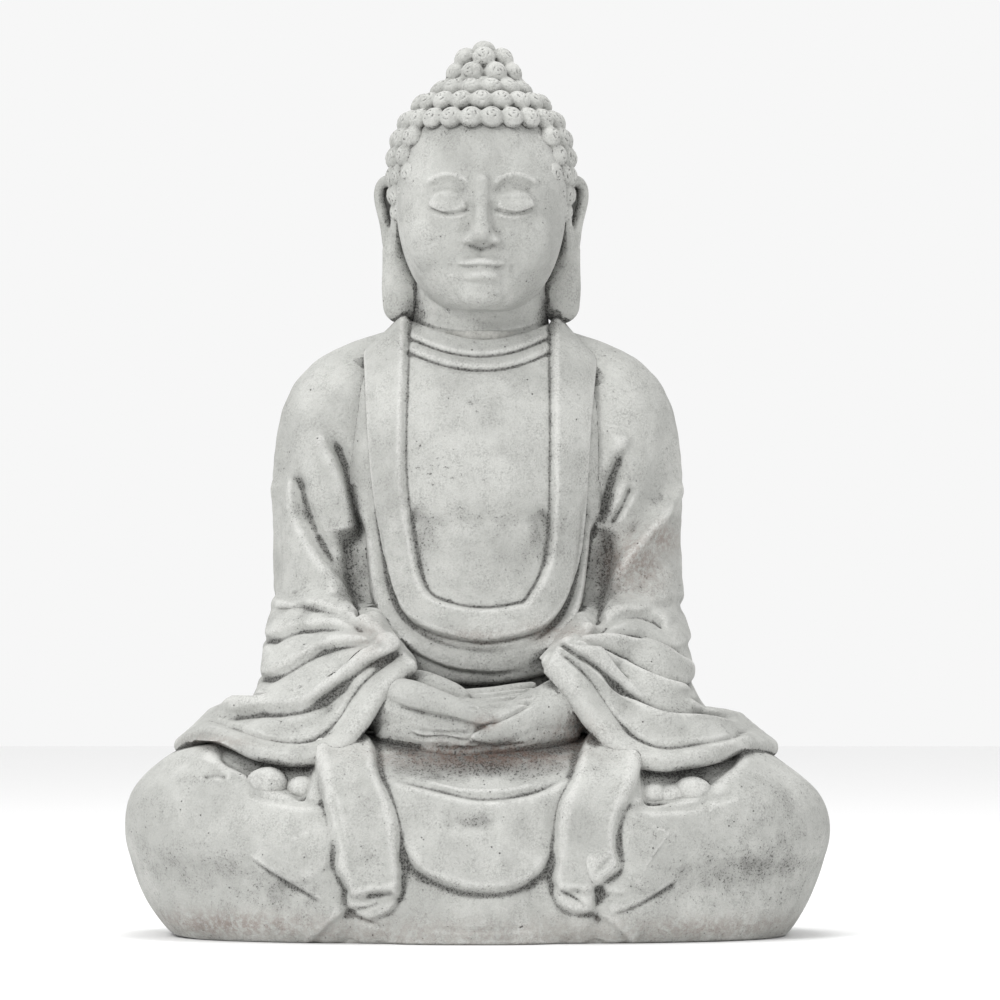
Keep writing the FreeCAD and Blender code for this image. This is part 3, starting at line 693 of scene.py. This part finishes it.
def sleeve_skin(name, side, tip):
    """One arm and sleeve; tip is how much further out the cloth reaches on the thigh."""
    clay = bmesh.new()
    roll(clay, [(70 * side, 44, 452, 20), (92 * side, 44, 434, 30), (106 * side, 45, 406, 46),
                (112 * side, 46, 370, 49), (112 * side, 44, 320, 50), (112 * side, 36, 275, 49),
                (112 * side, 24, 240, 48)], (1, 1.1, 1))
    roll(clay, [(112 * side, 20, 236, 46), (100 * side, -22, 220, 42), (80 * side, -60, 210, 30),
                (64 * side, -78, 208, 19)], (1, 1, 0.9))
    stack(clay, [
        (120, 60, 76, 100, 132 * side, -44, 2.3),
        (138, 74 + tip, 80, 122, (138 + tip) * side, -40, 2.3),
        (150, 78 + tip, 84, 124, (140 + tip) * side, -35, 2.3),
        (160, 66 + tip, 86, 118, (134 + tip) * side, -29, 2.3),
        (170, 58, 86, 111, 128 * side, -23, 2.3),
        (182, 54, 83, 103, 120 * side, -15, 2.3),
        (200, 51, 78, 96, 116 * side, -7, 2.2),
        (225, 50, 66, 84, 115 * side, 7, 2.2),
        (250, 49, 52, 68, 113 * side, 24, 2.2),
    ])
    skin = Skin(name, clay, 1.48)
    skin.soften(8)
    line = curve(hems[side], 8)
    skin.co[:, 2] = np.maximum(skin.co[:, 2], np.interp(skin.co[:, 0], line[:, 0], line[:, 1]))
    skin.put()
    hem = bmesh.new()
    low, high = even(hem_rolls[side], 17), even(drapes[side], 17)
    for share in (0, 0.12, 0.34, 0.56, 0.78, 1):
        drawn = low + share * (high - low)
        drawn[:, 1] += 6 * math.sin(math.pi * share)
        roll(hem, [(*place, 7.6) for place in drawn], apart=0.4, fine=2)
    skin.add(hem)
    skin.soften(5)
    return skin


left = sleeve_skin("sleeve_left", 1, 0)
left.press([(160, 395), (146, 350), (124, 322), (110, 300)], 12, 5)
left.press([(165, 345), (150, 302), (128, 277), (110, 260)], 10, 5)
left.press([(163, 374), (152, 338), (130, 310), (116, 290), (98, 264)], 6, -7, ends=(0.3, 0.15))
left.press([(91, 318), (95, 334), (104, 358), (114, 380)], 6.5, 6)
left.fold([(97, 316), (96, 332), (102, 354), (111, 373), (122, 390)], 6, 24, 3.0, 0.2)
left.press([(101, 317), (112, 332), (122, 352)], 3.5, 4)
left.press([(102, 318), (98, 290), (93, 262), (86, 238)], 10, 11)
left.aim()
left.fold([(82, 232), (92, 240), (107, 248), (120, 250), (134, 247), (150, 236)], 5, 17, 1.6, 0.6,
          ends=(0.12, 0.15))
left.fold([(174, 205), (157, 216), (137, 226), (120, 231), (100, 234), (70, 230)], 6.5, 19, 1.6,
          0.5, ends=(0.1, 0.12))
left.fold([(178, 183), (159, 193), (141, 200), (123, 208), (107, 217), (91, 224), (64, 228)], 6.5,
          20, 1.6, 0.5, ends=(0.1, 0.12))
left.fold([(204, 166), (171, 171), (148, 173), (134, 177), (118, 185), (103, 196), (87, 210),
           (60, 226)], 7, 22, 1.6, 0.5, ends=(0.12, 0.03))
left.aim()
left.press([(222, 158), (209, 160), (193, 155), (167, 151), (141, 149), (120, 157), (107, 171),
            (96, 187), (84, 203), (64, 221)], 2.0, 2.4, ends=(0.1, 0.03))
left.press([(168, 158), (140, 158), (122, 170), (108, 188), (92, 204)], 7, 3.5)
left.aim()

right = sleeve_skin("sleeve_right", -1, 4)
right.press([(-116, 392), (-102, 362), (-91, 325), (-88, 300)], 7, 6)
right.fold([(-124, 398), (-107, 364), (-95, 325), (-93, 304)][::-1], 6.5, 26, 3.2, 0.2)
right.press([(-142, 366), (-136, 338), (-121, 304), (-106, 282)], 6, 4.5)
right.fold([(-149, 368), (-143, 338), (-128, 304), (-111, 281), (-94, 262)][::-1], 6.5, 26, 3.0,
           0.2)
right.press([(-158, 372), (-157, 335), (-158, 300)], 5, 3, view="front")
right.press([(-101, 318), (-97, 290), (-92, 262), (-85, 238)], 10, 11)
right.press([(-150, 262), (-130, 272), (-112, 268)], 8, 4)
right.aim()
right.fold([(-158, 249), (-135, 254), (-113, 249), (-96, 241), (-82, 232)], 5, 17, 1.6, 0.6,
           ends=(0.15, 0.12))
right.fold([(-176, 222), (-160, 229), (-139, 236), (-109, 237), (-70, 230)], 6.5, 19, 1.6, 0.5,
           ends=(0.1, 0.12))
right.fold([(-180, 190), (-165, 198), (-149, 205), (-132, 215), (-110, 224), (-64, 227)], 6.5, 20,
           1.6, 0.5, ends=(0.1, 0.12))
right.fold([(-202, 170), (-172, 175), (-139, 178), (-124, 184), (-107, 196), (-88, 210),
            (-58, 224)], 7, 22, 1.6, 0.5, ends=(0.12, 0.03))
right.aim()
right.press([(-224, 162), (-207, 168), (-186, 163), (-164, 156), (-139, 153), (-120, 157),
             (-107, 171), (-97, 187), (-84, 202), (-62, 219)], 2.0, 2.4, ends=(0.1, 0.03))
right.press([(-168, 164), (-140, 162), (-122, 171), (-108, 188), (-92, 204)], 7, 3.5)
right.aim()
for sleeve, view, sign in ((left, "left", 1), (right, "right", -1)):
    sleeve.fold([(-40, 250), (0, 262), (40, 258), (90, 240)][::sign], 3, 16, 2.4, view=view)
    sleeve.fold([(-60, 218), (-10, 228), (40, 226), (90, 214)][::sign], 3.5, 16, 2.4, view=view)
    sleeve.fold([(-90, 190), (-20, 200), (30, 200), (90, 190)][::sign], 3.5, 18, 2.4, view=view)
    sleeve.press([(20, 400), (10, 350), (30, 310)], 9, 2.5, view=view)
    sleeve.press([(70, 390), (60, 340), (40, 290)], 9, 2.5, view=view)
    sleeve.fold([(160 * sign, 240), (120 * sign, 262), (90 * sign, 300)][::-sign], 3, 18, 2.4,
                view="back")
    sleeve.fold([(160 * sign, 205), (130 * sign, 222), (95 * sign, 250)][::-sign], 3, 18, 2.4,
                view="back")
    sleeve.aim()
left.piece.data.materials.append(stone)
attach(left.piece, "root")
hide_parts("left_arm_casting")
skins.append(left)
right.piece.data.materials.append(stone)
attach(right.piece, "root")
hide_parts("right_arm_casting")
skins.append(right)

# ---- Hands ---------------------------------------------------------------------------------------
# Both hands in one casting, pinned to the legs: the right hand lies in the left, palms up, and the
# thumbs nearly meet.
clay = bmesh.new()
ball(clay, (0, -94, 160), (80, 42, 26))
roll(clay, [(90, -52, 190, 21), (74, -78, 182, 25), (58, -98, 175, 24), (38, -112, 169, 20),
            (18, -124, 163, 15), (4, -131, 159, 10), (-4, -134, 157, 6.5)], (1, 1, 0.95))
roll(clay, [(-90, -52, 190, 21), (-74, -80, 183, 24), (-56, -98, 175, 23), (-30, -110, 167, 18),
            (-6, -114, 162, 13)], (1, 1, 0.95))
roll(clay, [(-66, -100, 190, 12), (-50, -116, 187, 12.5), (-30, -124, 181, 11),
            (-12, -130, 175, 9.5), (4, -134, 169, 7.5), (12, -134, 165, 5)])
roll(clay, [(-62, -78, 198, 11), (-42, -88, 196, 10.5), (-22, -97, 190, 9), (-12, -100, 186, 7)])
roll(clay, [(20, -110, 150, 13), (-10, -120, 147, 11), (-34, -118, 150, 10), (-46, -112, 155, 7)])
for finger in range(4):
    roll(clay, [(-16, -112 + 9 * finger, 174 + 4 * finger, 6),
                (10, -112 + 9 * finger, 176 + 4 * finger, 6),
                (30, -106 + 9 * finger, 178 + 4.4 * finger, 5.6),
                (42, -100 + 9 * finger, 180 + 4.6 * finger, 4)])
hands = Skin("hands", clay, 0.95)
hands.soften(4)
for finger in range(3):
    up = 4.1 * finger
    hands.press([(-12, 178.5 + up), (10, 180 + up), (28, 182.5 + up), (44, 184.5 + up)], 1.5, 2.6,
                ends=(0.25, 0.12))
hands.press([(-56, 163), (-44, 156), (-26, 156), (-6, 152)], 1.8, 2.6)
hands.press([(-40, 149), (-16, 147), (14, 148), (40, 152)], 1.6, 1.4)
hands.press([(-72, 184), (-50, 176), (-26, 171), (-6, 166), (8, 163)], 2.0, 1.8, ends=(0.3, 0.1))
hands.press([(50, 188), (34, 178), (18, 170), (6, 165), (-4, 161), (-7, 155), (2, 150), (24, 147)],
            1.7, 3.0, ends=(0.15, 0.2))
hands.press([(-60, 166), (-34, 160), (-12, 160), (4, 164)], 2.0, 2.0)
hands.aim()
hands.piece.data.materials.append(stone)
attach(hands.piece, "root")
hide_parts("hands_casting")
skins.append(hands)

# ---- Head ----------------------------------------------------------------------------------------
# Head and neck in one casting. The face is a plain, calm one on the sculptor's thirds: hairline to
# brow, brow to the foot of the nose, and nose to chin are equal, and the eyes are at half the head.
middle = 3
chin = 484
third = 50
brow = chin + 2 * third
nose_foot = chin + third
eye_z = brow - 15
mouth_z = nose_foot - third / 3
eye_x = 26
clay = bmesh.new()
roll(clay, [(1, 37, 425, 47), (2, 37, 455, 46), (2, 37, 480, 45), (3, 36, 515, 43)], (1.22, 1, 1))
ball(clay, (middle, 36, 600), (66, 80, 67))
stack(clay, [
    (chin + 2, 20, 30, 40, middle, 0, 2.0),
    (chin + 8, 34, 40, 50, middle, 0, 2.0),
    (chin + 22, 49, 50, 60, middle, 2, 2.1),
    (chin + 42, 59, 57, 66, middle, 5, 2.2),
    (chin + 66, 65, 60, 72, middle, 8, 2.25),
    (chin + 92, 67, 60, 76, middle, 12, 2.3),
    (chin + 116, 66, 60, 80, middle, 18, 2.3),
    (chin + 138, 61, 58, 76, middle, 24, 2.2),
    (chin + 158, 50, 48, 66, middle, 30, 2.1),
])
ball(clay, (middle, -38, chin + 15), (19, 14, 13))
for x in (-1, 1):
    ball(clay, (middle + 33 * x, -28, chin + 55), (24, 20, 27))
    ball(clay, (middle + eye_x * x, -36, eye_z + 1), (16, 15, 13))
roll(clay, [(middle, -45, brow + 1, 7), (middle, -49, nose_foot + 34, 7),
            (middle, -53.5, nose_foot + 20, 7.8), (middle, -58.5, nose_foot + 10, 9)], (1, 1, 0.9))
for x in (-1, 1):
    ball(clay, (middle + 9.5 * x, -53, nose_foot + 6.5), (6.5, 9, 6))
ball(clay, (middle, -47.5, mouth_z + 4), (20, 10, 7.5))
ball(clay, (middle, -46.5, mouth_z - 5.5), (16, 10, 7))
head = Skin("head", clay, 1.15)
head.soften(9)
for x in (-1, 1):
    socket = middle + eye_x * x
    head.press([(middle + 9 * x, brow - 10), (socket - 8 * x, brow - 3),
                (socket + 4 * x, brow - 1.5), (middle + 44 * x, brow - 8)], 4.5, 3.4)
    head.press([(middle + 8 * x, brow - 4), (middle + 16 * x, brow + 4), (socket + 4 * x, brow + 6),
                (middle + 46 * x, brow - 2)], 3.0, -3.0)
    head.press([(middle + 11 * x, eye_z + 2), (middle + 10 * x, nose_foot + 22),
                (middle + 17 * x, nose_foot + 4)], 4.5, 2.4)
head.aim()
for x in (-1, 1):
    socket = middle + eye_x * x
    lid = [(socket - 16 * x, eye_z - 4.5), (socket - 7 * x, eye_z - 7.5),
           (socket + 4 * x, eye_z - 7.5), (socket + 16 * x, eye_z - 2.5)]
    if x < 0:
        lid = lid[::-1]
    head.fold(lid, 3.2, 9, 0.9, 0.7, ends=(0.08, 0.08))
    head.press([(px, pz - 3.8) for px, pz in lid], 2.4, -0.7)
    head.press([(px, pz - 8) for px, pz in lid], 4, 0.8)
    head.press([(px, 0.55 * pz + 0.45 * (eye_z + 13)) for px, pz in lid], 2.4, 0.9)
head.aim()
lips = [(middle - 22, mouth_z + 1.5), (middle - 11, mouth_z), (middle, mouth_z + 0.8),
        (middle + 11, mouth_z), (middle + 22, mouth_z + 1.5)]
head.press([(px * 0.8 + middle * 0.2, pz + 4.2) for px, pz in lips], 3.6, -1.4, ends=(0.45, 0.45))
head.press([(px * 0.7 + middle * 0.3, pz - 5.2) for px, pz in lips], 4.0, -2.0, ends=(0.45, 0.45))
head.press(lips, 1.7, 3.0, ends=(0.2, 0.2))
head.press([(middle - 12, mouth_z - 12), (middle, mouth_z - 12.5), (middle + 12, mouth_z - 12)],
           4.5, 1.5, ends=(0.45, 0.45))
around_mouth = ramp(26 - abs(head.co[:, 0] - middle), 0, 6)
around_mouth *= ramp(15 - abs(head.co[:, 2] - mouth_z + 1), 0, 5)
head.soften(4, around_mouth)
head.press([(px, pz + 0.4) for px, pz in lips], 1.3, 1.0, ends=(0.2, 0.2))
head.press([(middle, nose_foot - 1), (middle, mouth_z + 8)], 2.6, 1.6, ends=(0.05, 0.1))
head.press([(middle - 15, nose_foot + 1), (middle, nose_foot - 1.5), (middle + 15, nose_foot + 1)],
           2.2, 2.4)
for x in (-1, 1):
    head.press([(middle + 24 * x, mouth_z + 4), (middle + 25 * x, mouth_z),
                (middle + 24 * x, mouth_z - 5)], 3, 2)
head.aim()
head.press([(-52, 489), (-28, 480), (3, 477), (34, 480), (58, 489)], 5, 2.0)
head.press([(-56, 480), (-28, 471), (3, 467), (34, 471), (60, 480)], 1.6, 1.6)
head.soften(1)
head.piece.data.materials.append(stone)
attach(head.piece, "root")
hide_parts("head_casting")
skins.append(head)

# ---- Curl cap ------------------------------------------------------------------------------------
# A casting of its own, bonded over the skull: small round curls in staggered rows, and the topknot.
# Each curl was a pellet of clay with a snail's groove, pressed on the model one by one.
curl = 9.2
crown = np.array((middle, 36, 600))
dome = np.array((68, 84, 68))
knot = np.array((middle + 2, 34, 668))
curls = []


def ring_of_curls(centre, size, tilt, offset):
    """Places and outward directions for one level ring of curls on a dome."""
    c, s = math.cos(math.radians(tilt)), math.sin(math.radians(tilt))
    if tilt < 0:
        c = 0.62 + 0.38 * c
    count = max(1, round(math.pi * c * (size[0] + size[1]) / (1.9 * curl)))
    for i in range(count):
        angle = 2 * math.pi * (i + offset) / count
        out = np.array((math.sin(angle) * c, -math.cos(angle) * c, s))
        yield centre + out * size, out / np.linalg.norm(out)


for row, tilt in enumerate((-58, -45, -32, -19, -6, 6, 18, 31, 46, 62, 79)):
    for place, out in ring_of_curls(crown, dome, tilt, 0.5 * (row % 2)):
        across = abs(place[0] - middle)
        temple = across > 52 and place[2] > 556 and place[1] > -20
        nape = place[1] > 40 and place[2] > 548 - 0.25 * (place[1] - 40)
        if place[2] > 632 or temple or nape:
            curls.append((place, out))
for row, (wide, height, tilt) in enumerate(((27, -7, 0), (23.5, 5, 10), (15.5, 17.5, 38),
                                            (1, 24, 85))):
    count = max(1, round(2 * math.pi * wide / (1.95 * curl)))
    for i in range(count):
        angle = 2 * math.pi * (i + 0.5 * (row % 2)) / count
        out = np.array((math.sin(angle), -math.cos(angle), math.tan(math.radians(tilt))))
        curls.append((knot + (wide * math.sin(angle), -wide * math.cos(angle), height),
                      out / np.linalg.norm(out)))
clay = bmesh.new()
for place, out in curls:
    facing = Vector(out).to_track_quat("Z", "Y").to_euler()
    ball(clay, place + 0.5 * out, (curl, curl, 0.84 * curl), [math.degrees(a) for a in facing], 3)
ball(clay, crown + (0, 3, 0), dome - (4, 6, 2))
ball(clay, knot, (21, 21, 20))
cap = Skin("curl_cap", clay, 1.2)
cap.soften(1)
places = np.array([place for place, _ in curls])
outs = np.array([out for _, out in curls])
for chosen in np.array_split(np.arange(len(cap.co)), 12):
    away = cap.co[chosen][:, None, :] - places[None]
    nearest = (away ** 2).sum(2).argmin(1)
    away = away[np.arange(len(chosen)), nearest]
    out = outs[nearest]
    lift = (away * out).sum(1)
    flat = away - lift[:, None] * out
    side = np.cross(out, (0.3, 0.9, 0.2))
    side /= np.linalg.norm(side, axis=1)[:, None]
    up = np.cross(out, side)
    turned = np.arctan2((flat * side).sum(1), (flat * up).sum(1)) + nearest
    wide = np.linalg.norm(flat, axis=1)
    phase = (wide / 3.4 - turned / (2 * math.pi)) % 1.0
    swirl = np.exp(-(((phase - 0.5) / 0.17) ** 2)) * ramp(6.8 - wide, 0, 2) * (lift > 0)
    swirl *= 0.55 + 0.45 * np.sin(3.1 * turned + 5 * nearest)
    cap.co[chosen] -= out * (0.9 * swirl)[:, None]
    cap.marks[chosen] = swirl + 0.5 * ramp(wide, 6.5, 10.5)
cap.aim()
cap.piece.data.materials.append(stone)
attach(cap.piece, "root")
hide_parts("curl_cap_casting")
skins.append(cap)

# ---- Ears ----------------------------------------------------------------------------------------
# Long ears of fibre cement, each a small casting pinned and bonded to the head: a rolled rim, a
# hollow behind it and a heavy lobe.
for side, name, casting in ((1, "ear_left", "left_ear"), (-1, "ear_right", "right_ear")):
    clay = bmesh.new()

    def at(x, y, z, r):
        return (middle + side * x, y, z, r)

    roll(clay, [at(62.5, 30, 492, 15), at(63, 31, 505, 15.5), at(66, 32, 521, 12),
                at(70, 33, 536, 8)], (1, 0.8, 1))
    roll(clay, [at(70, 33, 535, 7), at(75, 36, 555, 5), at(80, 40, 575, 4.5), at(79, 42, 586, 4.5),
                at(73, 38, 590, 4.5), at(66, 32, 582, 4)])
    roll(clay, [at(68, 30, 530, 6), at(67, 28, 550, 5), at(66, 28, 570, 4.5), at(66, 30, 582, 4)])
    roll(clay, [at(67, 42, 524, 7), at(70, 47, 550, 7.5), at(72, 49, 570, 7), at(71, 46, 584, 5)],
         (1.25, 0.7, 1))
    roll(clay, [at(60, 44, 530, 7), at(60, 46, 560, 8), at(60, 46, 582, 6)])
    ear = Skin(name, clay, 0.8)
    ear.soften(6)
    ear.piece.data.materials.append(stone)
    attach(ear.piece, "root")
    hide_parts(casting)
    skins.append(ear)

# ---- Base plate, bars, pins, seam tapes and mortar -----------------------------------------------
# The plate of cement board screwed into the foot's rebate, the galvanised bars, the stainless
# dowels and screws, the nylon plugs, the glass mat over the side seams, and the mortar that beds
# each casting.


def gritty(name, dark, light, scale, roughness=0.9, depth=0.5):
    """A mortar, board or mat: two tones in a mottle, with grit."""
    paint = Paint(name)
    grit = paint.mottle(scale, 5, 0.7)
    fine = paint.mottle(scale * 5, 3, 0.7)
    tone = paint.blend(paint.step(grit, 0.35, 0.65), dark, light)
    tone = paint.blend(paint.sum("MULTIPLY", paint.step(fine, 0.58, 0.66), 0.5), tone,
                       tuple(c * 0.4 for c in dark))
    paint.coat(tone, roughness)
    paint.relief((grit, depth), (fine, depth * 0.4))
    return paint.material


def metal(name, dark, light, roughness, scale, stretch=None):
    """A drawn or dipped metal: streaks or spangle in two tones, with dull patches."""
    paint = Paint(name)
    streak = paint.mottle(scale, 4, 0.6, stretch)
    dull = paint.mottle(40, 4)
    paint.coat(paint.blend(streak, dark, light), paint.sum("MULTIPLY_ADD", dull, 0.25, roughness),
               1.0)
    paint.relief((streak, 0.05))
    return paint.material


finishes = {
    "mortar": gritty("bedding_mortar", (0.30, 0.30, 0.28), (0.46, 0.455, 0.43), 160),
    "board": gritty("cement_board", (0.34, 0.335, 0.31), (0.44, 0.435, 0.41), 90, depth=0.25),
    "glass_mat": gritty("glass_mat", (0.46, 0.47, 0.45), (0.62, 0.63, 0.61), 240, 0.7, 0.4),
    "stainless": metal("stainless_rod", (0.42, 0.42, 0.43), (0.62, 0.62, 0.63), 0.25, 300,
                       (1, 1, 0.05)),
    "galvanised": metal("galvanised_bar", (0.40, 0.42, 0.43), (0.58, 0.60, 0.61), 0.4, 90),
    "nylon": gritty("nylon_plug", (0.55, 0.54, 0.50), (0.62, 0.61, 0.57), 70, 0.55, 0.1),
}
for subpart in frame["record"]["subparts"]:
    finish = finishes.get(subpart["material_slot"])
    if finish:
        for slot in frame["nodes"][subpart["node"]].material_slots:
            slot.material = finish

# ---- Wash, weathering and painted shade ----------------------------------------------------------
# The pale wash brushed over the whole statue once it is bonded, and what years outdoors did to it:
# grime settles in its hollows, edges stay pale, and handled places rub to brown. Painted shade is
# laid
# into the same dark layer: on faces that look down, where two castings meet and at listed spots.
# Grime-and-shade spots and rubbed places are a middle, three half sizes in millimetres and a
# strength.
most_faces = 180000
crevice = 15 * MM
quiet = {"head": 0.5, "chest_front": 0.85, "curl_cap": 1.3}
# how strongly each piece takes the painted shade where castings meet
shaded = {"head": 0.4}
# dark spots laid into the hollow layer: partly grime, partly painted shade under the ribs, hands and
# thighs, in the arms' bends, around the toes, under the ear lobes and between arms and chest
grime_and_shade = (
    ((-46, -40, 306), (16, 30, 26), 0.45),  # under the ribs
    ((50, -40, 308), (16, 30, 26), 0.45),
    ((3, -50, 322), (60, 30, 7), 0.25),
    ((-3, -165, 92), (22, 30, 7), 0.6),  # dent in the apron cloth
    ((0, -150, 132), (80, 60, 10), 0.6),  # lap, below the hands
    ((-170, -150, 44), (90, 60, 22), 0.18),  # under the thighs
    ((170, -150, 44), (90, 60, 22), 0.18),
    ((-142, 0, 330), (14, 60, 34), 0.35),  # creases of the arms
    ((-126, -90, 168), (24, 40, 10), 0.35),  # sleeves' folds
    ((150, -60, 176), (30, 50, 12), 0.3),
    ((100, 0, 350), (10, 40, 30), 0.3),
    ((-100, -10, 280), (15, 40, 44), 0.8),  # between arms and chest
    ((100, -10, 280), (15, 40, 44), 0.8),
    ((0, -30, 190), (80, 50, 16), 0.5),  # behind the hands
    ((-145, -112, 122), (50, 16, 12), 0.7),  # around the toes
    ((150, -112, 120), (50, 16, 12), 0.7),
    ((-50, 0, 484), (10, 60, 16), 0.8),  # neck, under the ear lobes
    ((57, 0, 484), (10, 60, 16), 0.8),
    ((0, -120, 138), (80, 40, 9), 0.5),
    ((-230, -80, 60), (60, 90, 20), 0.15),  # outside of the knees
    ((230, -80, 50), (60, 90, 20), 0.15),
    ((0, -120, 146), (72, 40, 7), 0.4),  # undersides of the hands
    ((0, -122, 160), (84, 40, 8), 0.3),
    ((190, -120, 60), (60, 60, 30), 0.2),
    ((-124, 0, 250), (24, 60, 12), 0.6),  # bend of the right arm
    ((66, -112, 152), (26, 30, 9), 0.5),
    ((224, -100, 82), (44, 60, 26), 0.27),  # left knee
    ((246, -60, 118), (30, 60, 14), 0.3),
    ((-150, -130, 34), (40, 60, 14), 0.25),  # right shin
    ((-250, -60, 96), (30, 60, 24), 0.25),
    ((-84, -170, 66), (9, 20, 9), 0.4),  # hanging robe end
)
rubbed = (
    ((6, -134, 167), (9, 9, 5), 1.0),  # thumb tip
    ((124, -20, 290), (24, 40, 22), 0.7),  # left elbow
    ((150, -10, 308), (16, 40, 12), 0.9),
    ((0, -130, 142), (70, 14, 9), 0.9),  # under the hands
    ((72, -104, 158), (22, 30, 12), 0.6),
    ((76, -100, 158), (14, 30, 16), 0.7),
    ((0, -160, 6), (280, 60, 14), 0.35),  # foot rim
    ((-180, -100, 13), (80, 90, 10), 0.75),
    ((170, -100, 11), (80, 90, 9), 0.6),
    ((-84, -120, 235), (14, 60, 20), 0.4),  # right sleeve's opening
    ((60, -60, 236), (26, 40, 8), 0.5),  # robe band
    ((0, -64, 232), (30, 20, 6), 0.4),
    ((-196, -60, 152), (30, 80, 5), 0.5),  # sleeve's tip
)
for skin in skins:
    skin.aim(2)
    fine, middling, broad = [((skin.spread(skin.co, rounds) - skin.co) * skin.normal).sum(1)
                             for rounds in (3, 26, 120)]
    hollow = 0.3 * ramp(fine, 0.06, 0.5) + 0.65 * ramp(middling, 0.1, 2.4)
    hollow += 0.7 * ramp(broad, 0.4, 5.0)
    # painted shade: faces that look down are darkened, the more the further they turn down
    hollow += 0.32 * ramp(-skin.normal[:, 2], 0.1, 0.9)
    hollow *= quiet.get(skin.piece.name, 1.0)
    hollow += 0.8 * skin.marks
    crest = ramp(-fine, 0.04, 0.3) + ramp(-middling, 0.3, 2.4)
    rub = np.zeros(len(skin.co))
    for place, size, strength in rubbed:
        away = np.linalg.norm((skin.co - np.array(place)) / np.array(size), axis=1)
        rub = np.maximum(rub, strength * np.exp(-(away ** 2)))
    # grime and painted shade at the listed spots
    for place, size, strength in grime_and_shade:
        away = np.linalg.norm((skin.co - np.array(place)) / np.array(size), axis=1)
        hollow += strength * np.exp(-(away ** 2))
    for name, values in (("hollow", hollow), ("crest", crest), ("rub", rub)):
        layer = skin.piece.data.attributes.new(name, "FLOAT", "POINT")
        layer.data.foreach_set("value", np.clip(values, 0, 1).astype(np.float32))
    faces = sum(len(poly.vertices) - 2 for poly in skin.piece.data.polygons)
    if faces > most_faces:
        thin = skin.piece.modifiers.new("thin", "DECIMATE")
        thin.ratio = most_faces / faces
        settle(skin.piece)
    skin.piece.data.shade_smooth()
# Painted shade where castings meet: each point darkens the nearer it lies, within the crevice reach,
# to another casting that it faces; the head takes it more mildly.
bpy.context.view_layer.update()
graph = bpy.context.evaluated_depsgraph_get()
shells = {skin.piece.name: BVHTree.FromObject(skin.piece, graph) for skin in skins}
for skin in skins:
    mesh = skin.piece.data
    dark = np.zeros(len(mesh.vertices), np.float32)
    mesh.attributes["hollow"].data.foreach_get("value", dark)
    low = np.array([np.array(c) for c in skin.piece.bound_box]).min(0)
    high = np.array([np.array(c) for c in skin.piece.bound_box]).max(0)
    mild = 0.95 * shaded.get(skin.piece.name, 1.0)
    beside = []
    for rival in skins:
        corners = np.array([np.array(c) for c in rival.piece.bound_box])
        meets = np.all(corners.min(0) < high + crevice) and np.all(corners.max(0) > low - crevice)
        if rival is not skin and meets:
            beside.append((shells[rival.piece.name], corners.min(0) - crevice,
                           corners.max(0) + crevice))
    for i, vert in enumerate(mesh.vertices):
        x, y, z = vert.co
        for shell, near_low, near_high in beside:
            if not (near_low[0] < x < near_high[0] and near_low[1] < y < near_high[1]
                    and near_low[2] < z < near_high[2]):
                continue
            found = shell.find_nearest(vert.co, crevice)
            if found[0] is not None and (found[0] - vert.co).dot(vert.normal) > 0.12 * found[3]:
                dark[i] += mild * (1 - found[3] / crevice) ** 1.5
    mesh.attributes["hollow"].data.foreach_set("value", np.clip(dark, 0, 1))

# ---- Floor, light and camera ---------------------------------------------------------------------
floor_clay = bmesh.new()
bmesh.ops.create_grid(floor_clay, x_segments=1, y_segments=1, size=6.0)
floor_mesh = bpy.data.meshes.new("floor")
floor_clay.to_mesh(floor_mesh)
floor_clay.free()
floor = bpy.data.objects.new("floor", floor_mesh)
bpy.context.scene.collection.objects.link(floor)
pale = bpy.data.materials.new("pale_floor")
pale.use_nodes = True
pale.node_tree.nodes["Principled BSDF"].inputs["Base Color"].default_value = (0.9, 0.9, 0.9, 1)
pale.node_tree.nodes["Principled BSDF"].inputs["Roughness"].default_value = 0.9
floor.data.materials.append(pale)


def softbox(name, place, target, size, watts):
    light = bpy.data.lights.new(name, "AREA")
    light.shape = "DISK"
    light.size = size
    light.energy = watts
    lamp = bpy.data.objects.new(name, light)
    lamp.location = place
    lamp.rotation_euler = (Vector(target) - Vector(place)).to_track_quat("-Z", "Y").to_euler()
    bpy.context.scene.collection.objects.link(lamp)


softbox("key", (-2.2, -3.0, 2.6), (0, 0, 0.35), 1.2, 80)
softbox("fill", (3.0, -2.6, 1.0), (0, 0, 0.3), 2.0, 5)
softbox("top", (0, 0.2, 3.0), (0, 0, 0.4), 1.4, 34)
world = bpy.data.worlds.new("studio")
world.use_nodes = True
world.node_tree.nodes["Background"].inputs["Color"].default_value = (1, 1, 1, 1)
world.node_tree.nodes["Background"].inputs["Strength"].default_value = 0.93
bpy.context.scene.world = world
bpy.context.scene.view_settings.view_transform = "Standard"

camera_data = bpy.data.cameras.new("camera")
camera_data.lens = 253.5
camera_data.shift_x = 0.0225
camera = bpy.data.objects.new("camera", camera_data)
camera.location = (0, -5.5, 0.28)
aim = Vector((0, 0, 0.3384)) - camera.location
camera.rotation_euler = aim.to_track_quat("-Z", "Y").to_euler()
bpy.context.scene.collection.objects.link(camera)
bpy.context.scene.camera = camera
